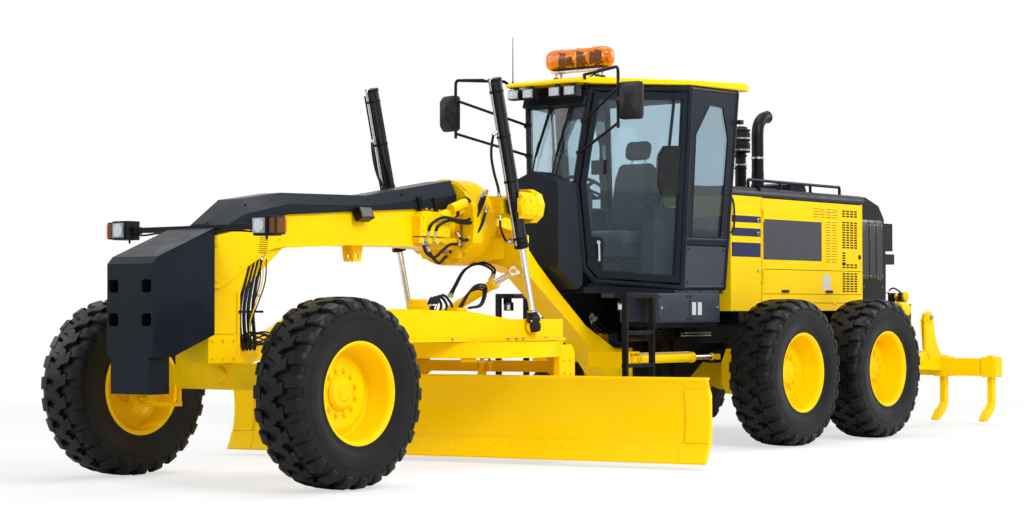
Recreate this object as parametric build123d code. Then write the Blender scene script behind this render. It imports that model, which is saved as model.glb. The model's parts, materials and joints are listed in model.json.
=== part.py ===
from build123d import *
import math
import os

# Motor grader, in millimetres. While the pieces are made, x points to the machine's left, y points
# back from the front axle, and z points up from the ground. The finished pieces are moved so that
# the origin is on the ground under the middle of the machine.

# Wheels
FRONT_AXLE = 0
TANDEM_AXLES = (5732.5, 7257.5)
TRACK_HALF = 1063
TYRE_R = 645
TYRE_HALF = 212
RIM_SEAT_R = 325
RIM_FLANGE_R = 352
RIM_HALF = 187
DISC_OFFSET = 0
FIT_GAP = 0.5
MOVE_GAP = 6
PIN_GAP = 0.3
NOSE_R = 40
NOSE_DEPTH = 36

# Front axle: the lean pin and the kingpin of the left wheel
PIN_Z = TYRE_R
LEAN_X = 760
KINGPIN_X = 850
KINGPIN_R = 20
STEER_ARM = 250

# Hitch between the front and the rear frame
HITCH_Y = 4750
HITCH_PIN_R = 40
HITCH_HUB_R = 95
HITCH_HUB_Z = (575, 865)
FRAME_CYLINDER_X = 450
FRAME_CYLINDER_Z = 780
FRAME_PIN_FRONT_Y = 4270
FRAME_PIN_REAR_Y = 5560

# Front frame
BEAM_HALF = 150
DIAGONAL_HALF = 115
BALL = (0, 150, 880)
BALL_R = 60
BALL_PIN_R = 20
BALL_END = 68

# Blade lift cylinders: they lie in a plane of constant x
LIFT_X = 630
LIFT_BALL = (2694, 1068)
LIFT_TRUNNION_Z = 2000
LIFT_TOP_Z = 2970
LIFT_LEAN = 14.61
LIFT_BARREL_R = 52
LIFT_ROD_R = 24

# Drawbar centre-shift cylinder, in a plane of constant y
SHIFT_Y = 2650
SHIFT_TOP = (475, 1502)
SHIFT_FOOT = (-300, 1149)
SHIFT_BARREL_R = 38
SHIFT_GLAND = 215

# Circle and blade, made square to the circle's centre and then turned to rest
CIRCLE_Y = 2620
CIRCLE_TURN = 11.15
CIRCLE_R = 772
CIRCLE_Z = (830, 950)
ARM_X = 725
TIP_PIVOT = (40, 215)
BLADE_LENGTH = 4270
BLADE_SHIFT = -24
BLADE_FOOT = (-175, 45)
BLADE_HEAD = (-150, 690)
BLADE_HOLLOW = 90
BLADE_THICK = 25
SLIDE_AXIS = (52, 560)
SLIDE_BARREL = (-920, 830)
SLIDE_ROD = (-60, 1720)
TIP_TOP = (300, 745)
TIP_FOOT = (105, 410)

# Cab corners on the left side, from the door's plane
CAB_TOP_FRONT = (327, 3845, 3043)
CAB_KNEE = (240, 3757, 2240)
CAB_LOW_FRONT = (253, 3852, 1537)
CAB_SILL_FRONT = (279, 3974, 1434)
CAB_SILL_MIDDLE = (600, 4785, 1386)
CAB_TOP_MIDDLE = (700, 4786, 3086)
CAB_SILL_REAR = (600, 5444, 1391)
CAB_TOP_REAR = (700, 5514, 3097)
FLOOR_Z = (1336, 1386)
GLASS = 6
DOOR_INSET = 38
DOOR_BORDER = 48
POST_R = 30
DOOR_HINGES = (260, 860, 1450)
BEACON_HALF = 342
BEACON_Z = (3225, 3440)

# Hood
HOOD_HALF = 600
HOOD_Y = (5578, 7950)
HOOD_Z = (1184, 2213)
HOOD_WALL = 20
DOOR_Y = (6115, 7925)
DOOR_Z = (1341, 2205)
DOOR_HINGE = (606, 6121)
ENGINE_HINGE_ZS = (1500, 2050)
HOOD_TOP_Z = 2300
GUARD_Y = (7950, 8480)

# Ripper
RIPPER_PIVOT = (9010, 640)
RIPPER_ARM_X = 540
RIPPER_BEAM_Y = (9700, 9863)
RIPPER_BEAM_Z = (510, 690)
RIPPER_BEAM_HALF = 1150
SHANK_XS = (-1068, -534, 0, 534, 1068)
SHANK_KNEE = 240
SHANK_TIP = (9560, 53)
RIPPER_TOWER = [(9350, 730), (9350, 1105), (9372, 1155), (9422, 1176), (9480, 1160), (9508, 1110), (9560, 900),
                (9620, 790), (9710, 715), (9720, 600)]
RIPPER_CYLINDER_TOP = (8980, 1320)
RIPPER_CYLINDER_FOOT = (9400, 740)
RIPPER_CYLINDER_X = 440

# The origin is half-way between the push block's face and the ripper's beam.
BLOCK_FRONT_Y = -903
MIDDLE_Y = (BLOCK_FRONT_Y + RIPPER_BEAM_Y[1] + 30) / 2

SIDES = {"left": 1, "right": -1}
parts = {}


def block(x, y, z):
    centre = ((x[0] + x[1]) / 2, (y[0] + y[1]) / 2, (z[0] + z[1]) / 2)
    return Pos(*centre) * Box(abs(x[1] - x[0]), abs(y[1] - y[0]), abs(z[1] - z[0]))


def along_x(outline, x):
    """A prism whose (y, z) outline runs between two values of x."""
    face = make_face(Polyline(*[(x[0], y, z) for y, z in outline], close=True))
    return extrude(face, amount=x[1] - x[0], dir=(1, 0, 0))


def along_y(outline, y):
    """A prism whose (x, z) outline runs between two values of y."""
    face = make_face(Polyline(*[(x, y[0], z) for x, z in outline], close=True))
    return extrude(face, amount=y[1] - y[0], dir=(0, 1, 0))


def along_z(outline, z):
    """A prism whose (x, y) outline runs between two values of z."""
    face = make_face(Polyline(*[(x, y, z[0]) for x, y in outline], close=True))
    return extrude(face, amount=z[1] - z[0], dir=(0, 0, 1))


def bar(start, end, radius):
    """A round bar between two points."""
    start, end = Vector(*start), Vector(*end)
    axis = end - start
    low = (Align.CENTER, Align.CENTER, Align.MIN)
    return Plane(origin=start, z_dir=axis) * Cylinder(radius, axis.length, align=low)


def mirrored(shape):
    return mirror(shape, Plane.YZ)


def both(shape):
    """The shape of the left side, and its twin on the right."""
    return shape + mirrored(shape)


def on(side, shape):
    """The left side's shape, mirrored where the side is the right one."""
    return shape if side > 0 else mirrored(shape)


def panel(corners, depth, inset=0):
    """A flat plate on the plane of its first three corners; depth runs along the plane's normal."""
    origin = Vector(*corners[0])
    x_dir = Vector(*corners[1]) - origin
    plane = Plane(origin=origin, x_dir=x_dir, z_dir=x_dir.cross(Vector(*corners[2]) - origin))
    flat = [plane.to_local_coords(Vector(*c)) for c in corners]
    face = make_face(Polyline(*[(p.X, p.Y, 0) for p in flat], close=True))
    if inset:
        face = offset(face, amount=-inset, kind=Kind.INTERSECTION)
    return plane * (Pos(0, 0, depth[0]) * extrude(face, amount=depth[1] - depth[0], dir=(0, 0, 1)))


# Wheels -------------------------------------------------------------------------------------------

def turned(outline):
    """A ring about the x axis, from an (x, radius) outline."""
    face = make_face(Polyline(*[(x, r, 0) for x, r in outline], close=True))
    return revolve(face, axis=Axis.X)


def tyre():
    bead = RIM_SEAT_R + FIT_GAP
    half = [(RIM_HALF - 18, bead), (RIM_HALF - 14, RIM_FLANGE_R + 23), (TYRE_HALF, TYRE_R - 175),
            (TYRE_HALF, TYRE_R - 100), (TYRE_HALF - 14, TYRE_R - 37), (TYRE_HALF - 47, TYRE_R)]
    return turned(half + [(-x, r) for x, r in reversed(half)])


def rim():
    """The outer side of the wheel is at +x."""
    half, seat = RIM_HALF, RIM_SEAT_R
    barrel = turned([(-half, seat - 14), (half, seat - 14), (half, RIM_FLANGE_R), (half - 12, RIM_FLANGE_R),
                     (half - 12, seat), (-half + 12, seat), (-half + 12, RIM_FLANGE_R), (-half, RIM_FLANGE_R)])
    disc = turned([(DISC_OFFSET - 18, 0), (DISC_OFFSET, 0), (DISC_OFFSET, 235), (DISC_OFFSET - 26, 263),
                   (DISC_OFFSET - 26, seat - 14), (DISC_OFFSET - 44, seat - 14), (DISC_OFFSET - 44, 257),
                   (DISC_OFFSET - 18, 229)])
    hub = Pos(DISC_OFFSET, 0, 0) * Rot(0, 90, 0) * Cylinder(100, 60)
    inner = DISC_OFFSET - 30
    bore = bar((inner - 5, 0, 0), (inner + NOSE_DEPTH + 4, 0, 0), NOSE_R + PIN_GAP)
    return barrel + disc + hub - bore


def wheels():
    rims, tyres = rim(), tyre()
    places = {"front": FRONT_AXLE, "tandem_front": TANDEM_AXLES[0], "tandem_rear": TANDEM_AXLES[1]}
    for place, y in places.items():
        for name, side in SIDES.items():
            put = Pos(TRACK_HALF, y, TYRE_R)
            parts[f"rim_{place}_{name}"] = on(side, put * rims)
            parts[f"tyre_{place}_{name}"] = on(side, put * tyres)


HUB_FACE_X = TRACK_HALF + DISC_OFFSET - 30 - MOVE_GAP
NOSE_END_X = HUB_FACE_X + MOVE_GAP + NOSE_DEPTH


# Front axle, lean brackets, knuckles and tie rod ---------------------------------------------------

AXLE_Z = (PIN_Z + 5, PIN_Z + 185)
FORK_Y = (48, 68)
EAR_Z = (70, 100)
STEER_ARM_Z = (PIN_Z - 145, PIN_Z - 117)


def front_axle():
    low, high = PIN_Z + 45, PIN_Z + 115
    beam = along_y([(-640, low), (-300, AXLE_Z[0]), (300, AXLE_Z[0]), (640, low), (640, high),
                    (420, AXLE_Z[1]), (-420, AXLE_Z[1]), (-640, high)], (-FORK_Y[1], FORK_Y[1]))
    outline = [(600, low), (600, high), (LEAN_X + 40, high), (LEAN_X + 40, PIN_Z - 60), (LEAN_X - 70, PIN_Z - 60),
               (640, low)]
    fork = along_y(outline, FORK_Y) + along_y(outline, (-FORK_Y[1], -FORK_Y[0]))
    pin = bar((LEAN_X, -85, PIN_Z), (LEAN_X, 85, PIN_Z), 25)
    return beam + both(fork + pin)


def lean_bracket():
    hub = bar((LEAN_X, -42, PIN_Z), (LEAN_X, 42, PIN_Z), 38)
    web = block((LEAN_X + 5, LEAN_X + 32), (-42, 42), (PIN_Z - EAR_Z[1], PIN_Z + EAR_Z[1]))
    low = (PIN_Z - EAR_Z[1], PIN_Z - EAR_Z[0])
    ears = block((LEAN_X + 5, KINGPIN_X), (-42, 42), low) + bar((KINGPIN_X, 0, low[0]), (KINGPIN_X, 0, low[1]), 42)
    ears = ears + Pos(0, 0, EAR_Z[0] + EAR_Z[1]) * ears
    kingpin = bar((KINGPIN_X, 0, PIN_Z - 85), (KINGPIN_X, 0, PIN_Z + 85), KINGPIN_R)
    bore = bar((LEAN_X, -60, PIN_Z), (LEAN_X, 60, PIN_Z), 25 + FIT_GAP)
    return hub + web + ears + kingpin - bore


def knuckle():
    """The steering arm runs under the lean bracket and rises behind it to the tie rod's ball."""
    low, high = PIN_Z - EAR_Z[0] + MOVE_GAP, PIN_Z + EAR_Z[0] - MOVE_GAP
    post = bar((KINGPIN_X, 0, low), (KINGPIN_X, 0, high), 46)
    body = block((KINGPIN_X + 20, KINGPIN_X + 60), (-45, 45), (low, high))
    drop = block((KINGPIN_X + 56, KINGPIN_X + 104), (-60, 60), (STEER_ARM_Z[0], high))
    spindle = bar((KINGPIN_X + 80, 0, PIN_Z), (HUB_FACE_X, 0, PIN_Z), 62)
    spindle = spindle + bar((HUB_FACE_X - 1, 0, PIN_Z), (NOSE_END_X, 0, PIN_Z), NOSE_R)
    arm = along_z([(KINGPIN_X + 104, -30), (KINGPIN_X + 104, 60), (LEAN_X + 20, STEER_ARM + 22),
                   (LEAN_X - 22, STEER_ARM + 10), (LEAN_X - 14, STEER_ARM - 22), (KINGPIN_X + 40, 20),
                   (KINGPIN_X + 56, -30)], STEER_ARM_Z)
    riser = bar((LEAN_X, STEER_ARM, STEER_ARM_Z[0] + 10), (LEAN_X, STEER_ARM, PIN_Z), 18)
    ball = Pos(LEAN_X, STEER_ARM, PIN_Z) * Sphere(22)
    stub = bar((LEAN_X, STEER_ARM, PIN_Z), (LEAN_X - 24, STEER_ARM, PIN_Z), 12)
    bore = bar((KINGPIN_X, 0, low - 80), (KINGPIN_X, 0, high + 90), KINGPIN_R + FIT_GAP)
    return post + body + drop - bore + spindle + arm + riser + ball + stub


def tie_rod():
    end = LEAN_X - 36
    return bar((-end, STEER_ARM, PIN_Z), (end, STEER_ARM, PIN_Z), 16)


# Front frame ---------------------------------------------------------------------------------------

NOSE_Z = PIN_Z + 190
BEAM_TOP = [(-340, 1700), (552, 1904), (1906, 1972), (2880, 1990), (3080, 1880)]
BEAM_BOTTOM = [(3250, 1500), (2750, 1640), (1873, 1682), (1053, 1674), (395, 1640), (-60, 1290), (-90, NOSE_Z),
               (-340, NOSE_Z)]
DIAGONAL = [(2950, 1570), (3080, 1880), (3412, 1568), (3717, 1323), (4069, 1060), (4495, 860),
            (4495, 577), (4450, 577), (4100, 900), (3700, 1184), (3500, 1321), (3250, 1500)]


def main_beam():
    beam = along_x(BEAM_TOP + BEAM_BOTTOM, (-BEAM_HALF, BEAM_HALF))
    return beam + along_x(DIAGONAL, (-DIAGONAL_HALF, DIAGONAL_HALF))


def hitch_hub():
    low, high = HITCH_HUB_Z
    hub = bar((0, HITCH_Y, low), (0, HITCH_Y, high), HITCH_HUB_R)
    neck = block((-DIAGONAL_HALF, DIAGONAL_HALF), (4480, HITCH_Y - 40), (low + 5, high - 10))
    bore = bar((0, HITCH_Y, low - 10), (0, HITCH_Y, high + 10), HITCH_PIN_R + FIT_GAP)
    return hub + neck - bore


def cylinder_ears(x, y, z, reach, pin_r, toward):
    """Two level plates and a pin for a cylinder that swings about a vertical pin."""
    along = (y - 45, y + reach) if toward > 0 else (y - reach, y + 45)
    ears = block((x - 45, x + 45), along, (z + 47, z + 65))
    ears = ears + Pos(0, 0, -112) * ears
    return ears + bar((x, y, z - 60), (x, y, z + 60), pin_r)


def front_cylinder_mounts():
    """Brackets on the diagonal that carry the frame cylinders' front pins."""
    x, y, z = FRAME_CYLINDER_X, FRAME_PIN_FRONT_Y, FRAME_CYLINDER_Z
    ears = cylinder_ears(x, y, z, 110, 20, -1)
    cross = block((100, x + 45), (y - 150, y - 90), (z - 65, z + 65))
    return both(ears + cross)


def yoke():
    """The saddle round the beam: arms with forks for the lift cylinders, and a lobe at the left."""
    y = LIFT_BALL[0] - (LIFT_TRUNNION_Z - LIFT_BALL[1]) * math.tan(math.radians(LIFT_LEAN))
    z = LIFT_TRUNNION_Z
    saddle = along_y([(-235, 1700), (-180, 1600), (180, 1600), (235, 1700), (235, 2040), (190, 2090),
                      (-190, 2090), (-235, 2040)], (2300, 2620))
    arm = block((200, LIFT_X + 102), (y + 115, y + 170), (z - 70, z + 70))
    gap = LIFT_BARREL_R + 16
    ears = block((LIFT_X + gap, LIFT_X + gap + 34), (y - 60, y + 120), (z - 55, z + 55))
    ears = ears + block((LIFT_X - gap - 34, LIFT_X - gap), (y - 60, y + 120), (z - 55, z + 55))
    bores = bar((LIFT_X - 140, y, z), (LIFT_X + 140, y, z), 24 + FIT_GAP)
    lobe = along_y([(SHIFT_TOP[0] - 75, 1640), (SHIFT_TOP[0] - 40, SHIFT_TOP[1] - 42), (SHIFT_TOP[0] + 40,
                   SHIFT_TOP[1] - 42), (SHIFT_TOP[0] + 70, 1560), (SHIFT_TOP[0] + 70, 1780), (120, 1900),
                    (120, 1680)], (SHIFT_Y + 48, SHIFT_Y + 82))
    pin = bar((SHIFT_TOP[0], SHIFT_Y - 40, SHIFT_TOP[1]), (SHIFT_TOP[0], SHIFT_Y + 70, SHIFT_TOP[1]), 18)
    return saddle + both(arm + ears - bores) + lobe + pin


def tie_down_lugs():
    lug = along_x([(1225, 1680), (1345, 1680), (1325, 1560), (1245, 1560)], (32, 52))
    hole = bar((20, 1285, 1600), (60, 1285, 1600), 18)
    return both(lug - hole)


def ball_socket():
    seat = block((-110, 110), (-150, BALL[1] - 4), (AXLE_Z[1], 1000))
    pin = bar((-BALL_END - 1, *BALL[1:]), (BALL_END + 1, *BALL[1:]), BALL_PIN_R + 1)
    return seat - Pos(*BALL) * Sphere(BALL_R + 1) - pin


def front_frame():
    frame = main_beam() + hitch_hub() + front_cylinder_mounts() + yoke() + tie_down_lugs()
    gusset = along_x([(-291, 1710), (-277, 1346), (364, 1678), (364, 1800)], (BEAM_HALF, BEAM_HALF + 25))
    return frame + both(gusset) + ball_socket()


def counterweight():
    upper = along_x([(BLOCK_FRONT_Y, 888), (BLOCK_FRONT_Y, 1510), (BLOCK_FRONT_Y + 45, 1558), (-340, 1762),
                     (-340, 1033), (-721, 888)], (-225, 225))
    lower = along_x([(BLOCK_FRONT_Y, 640), (BLOCK_FRONT_Y, 900), (-721, 900), (-721, 640)], (-188, 188))
    body = upper + lower
    for x in (-162, 162):
        for z in (1361, 1137):
            pocket = Pos(x, BLOCK_FRONT_Y, z) * Rot(90, 0, 0) * RectangleRounded(95, 88, 22)
            body = body - extrude(pocket, amount=120, both=True)
    return body


def hose_cover():
    cover = along_x([(-280, 1715), (-280, 1790), (0, 1978), (424, 2038), (1316, 2054), (2290, 2210),
                     (2290, 1990), (1906, 1973), (552, 1905)], (-175, 175))
    return cover - along_x(BEAM_TOP + BEAM_BOTTOM, (-BEAM_HALF, BEAM_HALF))


def headlamps():
    """A bar across the nose with a lamp and an amber marker at each end."""
    cross = bar((-640, -315, 1760), (640, -315, 1760), 20)
    foot = along_x([(-335, 1701.5), (-335, 1745), (-295, 1745), (-295, 1711)], (-60, 60))
    housing = block((630, 770), (-390, -250), (1695, 1830))
    marker = block((770, 850), (-370, -270), (1700, 1825))
    return cross + foot + both(housing + marker)


# Blade lift cylinders ------------------------------------------------------------------------------

def lift_point(distance):
    """The (y, z) place that far up the lift cylinder from its ball."""
    lean = math.radians(LIFT_LEAN)
    return (LIFT_BALL[0] - distance * math.sin(lean), LIFT_BALL[1] + distance * math.cos(lean))


LIFT_TRUNNION = (LIFT_TRUNNION_Z - LIFT_BALL[1]) / math.cos(math.radians(LIFT_LEAN))
LIFT_GLAND = 631
LIFT_CAP = (LIFT_TOP_Z - LIFT_BALL[1]) / math.cos(math.radians(LIFT_LEAN)) - 14


def lift_bar(low, high, radius):
    return bar((LIFT_X, *lift_point(low)), (LIFT_X, *lift_point(high)), radius)


def lift_barrels():
    bore = lift_bar(LIFT_GLAND + 40, LIFT_CAP - 30, 40)
    gland = lift_bar(LIFT_GLAND - 1, LIFT_GLAND + 41, LIFT_ROD_R + FIT_GAP)
    body = lift_bar(LIFT_GLAND, LIFT_CAP, LIFT_BARREL_R)
    y, z = lift_point(LIFT_TRUNNION)
    collar = lift_bar(LIFT_TRUNNION - 60, LIFT_TRUNNION + 60, LIFT_BARREL_R + 9)
    pins = bar((LIFT_X - 100, y, z), (LIFT_X + 100, y, z), 24)
    return both(body + collar + pins - bore - gland)


def lift_rods():
    rod = lift_bar(70, LIFT_GLAND + 705, LIFT_ROD_R)
    piston = lift_bar(LIFT_GLAND + 650, LIFT_GLAND + 705, 39)
    socket = lift_bar(51, 130, 36)
    return both(rod + piston + socket)


# Drawbar, circle and blade -------------------------------------------------------------------------

ARM_END_Y = 3100
SHOE_ANGLES = (48, 132, 229, 311)


def drawbar():
    """An A frame from the ball at the nose to a cross member behind the circle."""
    arm = along_z([(-10, 260), (70, 240), (600, ARM_END_Y - 350), (600, ARM_END_Y), (380, ARM_END_Y),
                   (370, ARM_END_Y - 350)], (956, 1210))
    side = along_x([(150, 830), (150, 930), (900, 1206), (1451, 1206), (2105, 1185), (2500, 1125),
                    (ARM_END_Y, 1125), (ARM_END_Y, 956), (1451, 956), (500, 870)], (-700, 700))
    arms = both(arm & side)
    front = along_x([(190, 835), (190, 925), (700, 1100), (1300, 1120), (1300, 956), (500, 875)], (-60, 60))
    front = front + along_z([(-110, 700), (110, 700), (290, 1500), (-290, 1500)], (985, 1015))
    neck = bar(BALL, (0, 300, 905), 42)
    ball = Pos(*BALL) * Sphere(BALL_R) + bar((-BALL_END, *BALL[1:]), (BALL_END, *BALL[1:]), BALL_PIN_R)
    rear = block((-420, 420), (2700, 2850), (956, 975))
    middle = block((-330, 330), (1950, 2120), (956, 1040))
    stud = bar((560, LIFT_BALL[0], LIFT_BALL[1]), (LIFT_X, LIFT_BALL[0], LIFT_BALL[1]), 24)
    stud = stud + Pos(LIFT_X, *LIFT_BALL) * Sphere(40)
    foot = block((-480, SHIFT_FOOT[0] + 38), (SHIFT_Y - 100, SHIFT_Y - 74), (1075, SHIFT_FOOT[1] + 38))
    frame = arms + front + neck + ball + rear + middle + both(stud) + foot
    low, high = CIRCLE_Z
    for angle in SHOE_ANGLES:
        turn = Pos(0, CIRCLE_Y, 0) * Rot(0, 0, angle)
        frame = frame + turn * block((CIRCLE_R - 132, CIRCLE_R - 95 - MOVE_GAP), (-60, 60), (low - 30, 970))
        frame = frame + turn * block((CIRCLE_R - 132, CIRCLE_R - 68), (-60, 60), (low - 30, low - 8))
        frame = frame + turn * block((CIRCLE_R - 110, CIRCLE_R - 20), (-60, 60), (high + FIT_GAP, 970))
    return frame


def turned_to_rest(shape):
    """Takes what is made square about the circle's centre to where the blade stands at rest."""
    return Pos(0, CIRCLE_Y, 0) * Rot(0, 0, CIRCLE_TURN) * shape


def circle():
    low, high = CIRCLE_Z
    ring = Cylinder(CIRCLE_R, high - low) - Cylinder(CIRCLE_R - 95, high - low)
    ring = Pos(0, 0, (low + high) / 2) * ring
    arm = along_x([(200, low + 30), (200, 922), (370, 922), (430, 860), (430, 600), (330, 420), (110, 200),
                   (85, 172), (40, 167), (5, 185), (-4, 215), (4, 260), (90, 420), (150, 600), (150, low + 30)],
                  (ARM_X - 25, ARM_X + 25))
    pin = bar((ARM_X - 105, *TIP_PIVOT), (ARM_X + 25, *TIP_PIVOT), 26)
    beam = block((-ARM_X + 10, ARM_X - 10), (350, 415), (700, 790))
    y, z = TIP_TOP
    ear = along_x([(360, z - 40), (360, z + 40), (y - 30, z + 28), (y - 30, z - 28)], (40, 60))
    pivot = bar((-60, y, z), (60, y, z), 16)
    return ring + both(arm + pin) + beam + both(ear) + pivot


def blade_outline(gap=0):
    """The blade's curved section as a face at x = 0; gap thickens it towards the back."""
    (y0, z0), (y1, z1) = BLADE_FOOT, BLADE_HEAD
    middle = ((y0 + y1) / 2 + BLADE_HOLLOW, (z0 + z1) / 2)
    back = BLADE_THICK + gap
    front = ThreePointArc((0, y0, z0), (0, *middle), (0, y1, z1))
    rear = ThreePointArc((0, y1 + back, z1), (0, middle[0] + back, middle[1]), (0, y0 + back, z0))
    ends = Line((0, y1, z1), (0, y1 + back, z1)) + Line((0, y0 + back, z0), (0, y0, z0))
    return make_face(front + rear + ends)


RAIL_ZS = (215, 520)
RAIL_BACK = -14


def moldboard():
    """The blade, its cutting edge and rails, and the rod that shifts it sideways."""
    low = BLADE_SHIFT - BLADE_LENGTH / 2
    span = (low, low + BLADE_LENGTH)
    shell = Pos(low, 0, 0) * extrude(blade_outline(), amount=BLADE_LENGTH, dir=(1, 0, 0))
    edge = (Pos(0, -16, 0) * shell) & block(span, (-400, 200), (BLADE_FOOT[1], 195))
    lip = block(span, (BLADE_HEAD[0] - 4, BLADE_HEAD[0] + 62), (BLADE_HEAD[1] - 18, BLADE_HEAD[1]))
    blade = shell + edge + lip
    for z in RAIL_ZS:
        blade = blade + block((low + 120, low + BLADE_LENGTH - 120), (-75, RAIL_BACK), (z - 22, z + 22))
    y, z = SLIDE_AXIS
    rod = bar((SLIDE_ROD[0], y, z), (SLIDE_ROD[1], y, z), 20)
    piston = bar((SLIDE_ROD[0], y, z), (SLIDE_ROD[0] + 50, y, z), 30)
    lug = block((SLIDE_ROD[1] - 45, SLIDE_ROD[1]), (-70, y + 34), (z - 34, z + 34))
    return blade + rod + piston + lug


def blade_bracket():
    """Two arms that clasp the blade's rails and turn on the circle's lower pins."""
    y, z = TIP_PIVOT
    back = RAIL_BACK + MOVE_GAP
    half = along_x([(back, 150), (back, 600), (95, 600), (95, 165)], (ARM_X - 105, ARM_X - 62))
    for rail_z in RAIL_ZS:
        for lip_z in (rail_z + 28, rail_z - 44):
            half = half + block((ARM_X - 150, ARM_X - 31), (-40, back), (lip_z, lip_z + 16))
        half = half + block((ARM_X - 150, ARM_X - 31), (back, back + 18), (rail_z - 44, rail_z + 44))
    half = half - bar((ARM_X - 120, y, z), (ARM_X - 55, y, z), 26 + FIT_GAP)
    frame = both(half) + block((-ARM_X + 100, ARM_X - 100), (0, 60), (380, 440))
    y, z = SLIDE_AXIS
    frame = frame + bar((SLIDE_BARREL[0], y, z), (SLIDE_BARREL[1], y, z), 36)
    frame = frame - bar((SLIDE_BARREL[0] + 25, y, z), (SLIDE_BARREL[1] - 30, y, z), 31)
    frame = frame - bar((SLIDE_BARREL[1] - 40, y, z), (SLIDE_BARREL[1] + 10, y, z), 20 + FIT_GAP)
    y, z = TIP_FOOT
    ear = along_x([(50, z - 30), (50, z + 30), (y + 30, z + 22), (y + 30, z - 22)], (36, 56))
    return frame + both(ear)


def tip_cylinder():
    """Barrel on the circle's cross beam, rod to the blade's bracket."""
    top, foot = Vector(0, *TIP_TOP), Vector(0, *TIP_FOOT)
    along = (foot - top).normalized()
    eye = bar((-28, *TIP_TOP), (28, *TIP_TOP), 34)
    gland = top + along * 275
    barrel = eye + bar(top, gland, 36)
    barrel = barrel - bar(top + along * 60, top + along * 255, 29)
    barrel = barrel - bar(top + along * 240, top + along * 300, 18 + FIT_GAP)
    barrel = barrel - bar((-40, *TIP_TOP), (40, *TIP_TOP), 16 + FIT_GAP)
    rod = bar(top + along * 130, foot, 18) + bar(top + along * 130, top + along * 160, 28)
    rod = rod + bar((-28, *TIP_FOOT), (28, *TIP_FOOT), 26)
    return turned_to_rest(barrel), turned_to_rest(rod)


# Drawbar centre-shift cylinder ---------------------------------------------------------------------

def shift_cylinder():
    """The rod hangs from the saddle's lobe, and the barrel slides on it towards the drawbar."""
    (x0, z0), (x1, z1) = SHIFT_TOP, SHIFT_FOOT
    top, foot = Vector(x0, SHIFT_Y, z0), Vector(x1, SHIFT_Y, z1)
    along = (foot - top).normalized()
    rod = bar((x0, SHIFT_Y - 25, z0), (x0, SHIFT_Y + 25, z0), 38)
    rod = rod - bar((x0, SHIFT_Y - 40, z0), (x0, SHIFT_Y + 40, z0), 18 + FIT_GAP)
    rod = rod + bar(top + along * 30, top + along * 620, 22)
    rod = rod + bar(top + along * 575, top + along * 620, 31)
    barrel = bar((x1, SHIFT_Y - 25, z1), (x1, SHIFT_Y + 25, z1), 40)
    barrel = barrel + bar(top + along * SHIFT_GLAND, foot, SHIFT_BARREL_R)
    barrel = barrel - bar(top + along * (SHIFT_GLAND + 30), foot - along * 60, 32)
    barrel = barrel - bar(top + along * (SHIFT_GLAND - 10), top + along * (SHIFT_GLAND + 40), 22 + FIT_GAP)
    return rod, barrel


# Frame cylinders at the hitch ----------------------------------------------------------------------

def frame_cylinder():
    """The left cylinder: barrel on the front frame, rod to the rear frame."""
    x, z = FRAME_CYLINDER_X, FRAME_CYLINDER_Z
    front, rear = FRAME_PIN_FRONT_Y, FRAME_PIN_REAR_Y
    eye = bar((x, front, z - 28), (x, front, z + 28), 42)
    barrel = eye + bar((x, front + 30, z), (x, 5180, z), 42)
    barrel = barrel - bar((x, front + 75, z), (x, 5150, z), 34)
    barrel = barrel - bar((x, 5100, z), (x, 5200, z), 24 + FIT_GAP)
    barrel = barrel - bar((x, front, z - 60), (x, front, z + 60), 20 + FIT_GAP)
    rod = bar((x, front + 320, z), (x, rear - 20, z), 24)
    rod = rod + bar((x, front + 320, z), (x, front + 370, z), 33)
    rod = rod + bar((x, rear, z - 25), (x, rear, z + 25), 38)
    return barrel, rod


# Rear frame ----------------------------------------------------------------------------------------

RAIL_X = (230, 310)
RAIL_Z = (820, 1100)
REAR_PLATE_Y = (8880, 8940)
AXLE_TUBE_R = 128


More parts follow.
